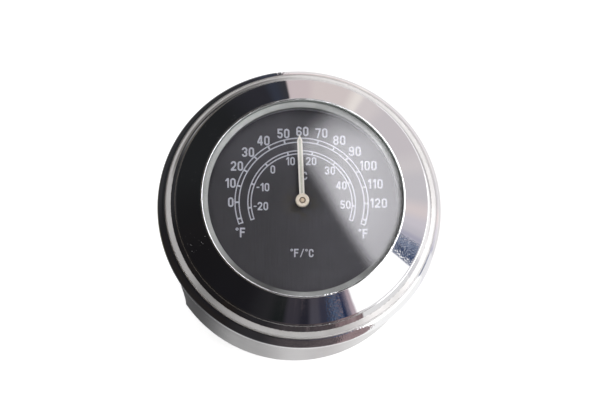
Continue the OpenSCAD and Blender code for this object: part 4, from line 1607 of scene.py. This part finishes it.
@dataclass
class Studio:
    """Camera, lights, floor and the tent that the metal mirrors."""

    distance: float = 1200.0
    aim: Vector = Vector((0.0, 0.0, LIP_Z))
    back: Vector = Vector((-0.06897, -0.23797, 0.96882))
    roll: float = 16.259
    pixels_per_mm: float = 5.877
    centre_pixel: tuple[float, float] = (303.195, 197.648)
    picture: tuple[float, float] = (600.0, 400.0)
    sensor: float = 36.0
    clip: tuple[float, float] = (0.05, 20.0)
    sky: float = 0.8
    floor_r: float = 2500.0
    tent_r: float = 500.0
    round_steps: int = 96

    def build(self) -> None:
        """Builds the studio."""
        self.camera()
        self.floor()
        self.tent()
        self.lights()
        self.world()
        bpy.context.scene.view_settings.view_transform = "Standard"

    def camera(self) -> None:
        """Stands the camera where the photograph's was."""
        data = bpy.data.cameras.new("photo_camera")
        camera = bpy.data.objects.new("photo_camera", data)
        bpy.context.scene.collection.objects.link(camera)
        back = self.back.normalized()
        level = Vector((-back.y, back.x, 0.0)).normalized()
        rise = back.cross(level)
        turn = math.radians(self.roll)
        right = level * math.cos(turn) + rise * math.sin(turn)
        up = rise * math.cos(turn) - level * math.sin(turn)
        axes = Matrix((right, up, back)).transposed().to_4x4()
        axes.translation = (self.aim + back * self.distance) * MM
        camera.matrix_world = axes
        wide, tall = self.picture
        data.sensor_width = self.sensor
        data.lens = self.sensor * self.pixels_per_mm * self.distance / wide
        data.shift_x = (wide / 2 - self.centre_pixel[0]) / wide
        data.shift_y = (self.centre_pixel[1] - tall / 2) / wide
        data.clip_start, data.clip_end = self.clip
        bpy.context.scene.camera = camera

    def floor(self) -> None:
        """Lays the floor under the object."""
        bpy.ops.object.select_all(action="DESELECT")
        bpy.ops.mesh.primitive_circle_add(
            vertices=self.round_steps, radius=self.floor_r * MM, fill_type="NGON",
            location=(0, 0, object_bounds()[0].z))
        floor = Bench.added("floor")
        FloorPaper("floor_paper", grey(0.93), 0.9).dress(floor)
        self.hide(floor, Ray.GLOSSY)
        floor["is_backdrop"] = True

    def tent(self) -> None:
        """Stands the round tent that only mirrors see."""
        bpy.ops.object.select_all(action="DESELECT")
        bpy.ops.mesh.primitive_uv_sphere_add(
            segments=self.round_steps, ring_count=self.round_steps // 2, radius=self.tent_r * MM)
        tent = Bench.added("mirror_tent")
        with Bench.editing(tent):
            bpy.ops.mesh.flip_normals()
        Bench.smooth(tent)
        TentPanels("tent_panels", grey(1.0), 1.0).dress(tent)
        self.hide(tent, Ray.CAMERA, Ray.DIFFUSE, Ray.TRANSMISSION, Ray.SHADOW)
        tent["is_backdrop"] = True

    @staticmethod
    def hide(thing: bpy.types.Object, *rays: Ray) -> None:
        """Hides a stage object from kinds of ray."""
        for ray in rays:
            setattr(thing, ray.value, False)

    def lights(self) -> None:
        """Hangs the soft lamps, turned to the origin."""
        for lamp in LAMPS:
            data = bpy.data.lights.new(lamp.name, "AREA")
            data.shape = "DISK"
            data.size = lamp.size * MM
            data.energy = lamp.power
            hung = bpy.data.objects.new(lamp.name, data)
            bpy.context.scene.collection.objects.link(hung)
            hung.location = Vector(lamp.place) * MM
            hung.rotation_euler = Vector(lamp.place).to_track_quat("Z", "Y").to_euler()
            self.hide(hung, Ray.GLOSSY)

    def world(self) -> None:
        """Sets an even sky, white to the camera."""
        world = bpy.data.worlds.new("studio_sky")
        bpy.context.scene.world = world
        world.use_nodes = True
        nodes, links = world.node_tree.nodes, world.node_tree.links
        nodes.clear()
        path = nodes.new("ShaderNodeLightPath")
        level = nodes.new("ShaderNodeMapRange")
        level.inputs["To Min"].default_value = self.sky
        level.inputs["To Max"].default_value = 1.0
        links.new(path.outputs["Is Camera Ray"], level.inputs["Value"])
        sky = nodes.new("ShaderNodeBackground")
        links.new(level.outputs["Result"], sky.inputs["Strength"])
        sky.inputs["Color"].default_value = (1.0, 1.0, 1.0, 1.0)
        out = nodes.new("ShaderNodeOutputWorld")
        links.new(sky.outputs[0], out.inputs["Surface"])


def main() -> None:
    """Builds the sub-assemblies in order, then the studio."""
    logging.basicConfig(level=logging.INFO, format="%(message)s")
    Bench.clear_default_objects()
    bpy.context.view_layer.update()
    for part in (Case(), Face(), Movement(), Clamp()):
        LOG.info("building %s", type(part).__name__)
        part.build()
    Studio().build()


if __name__ == "__main__":
    main()
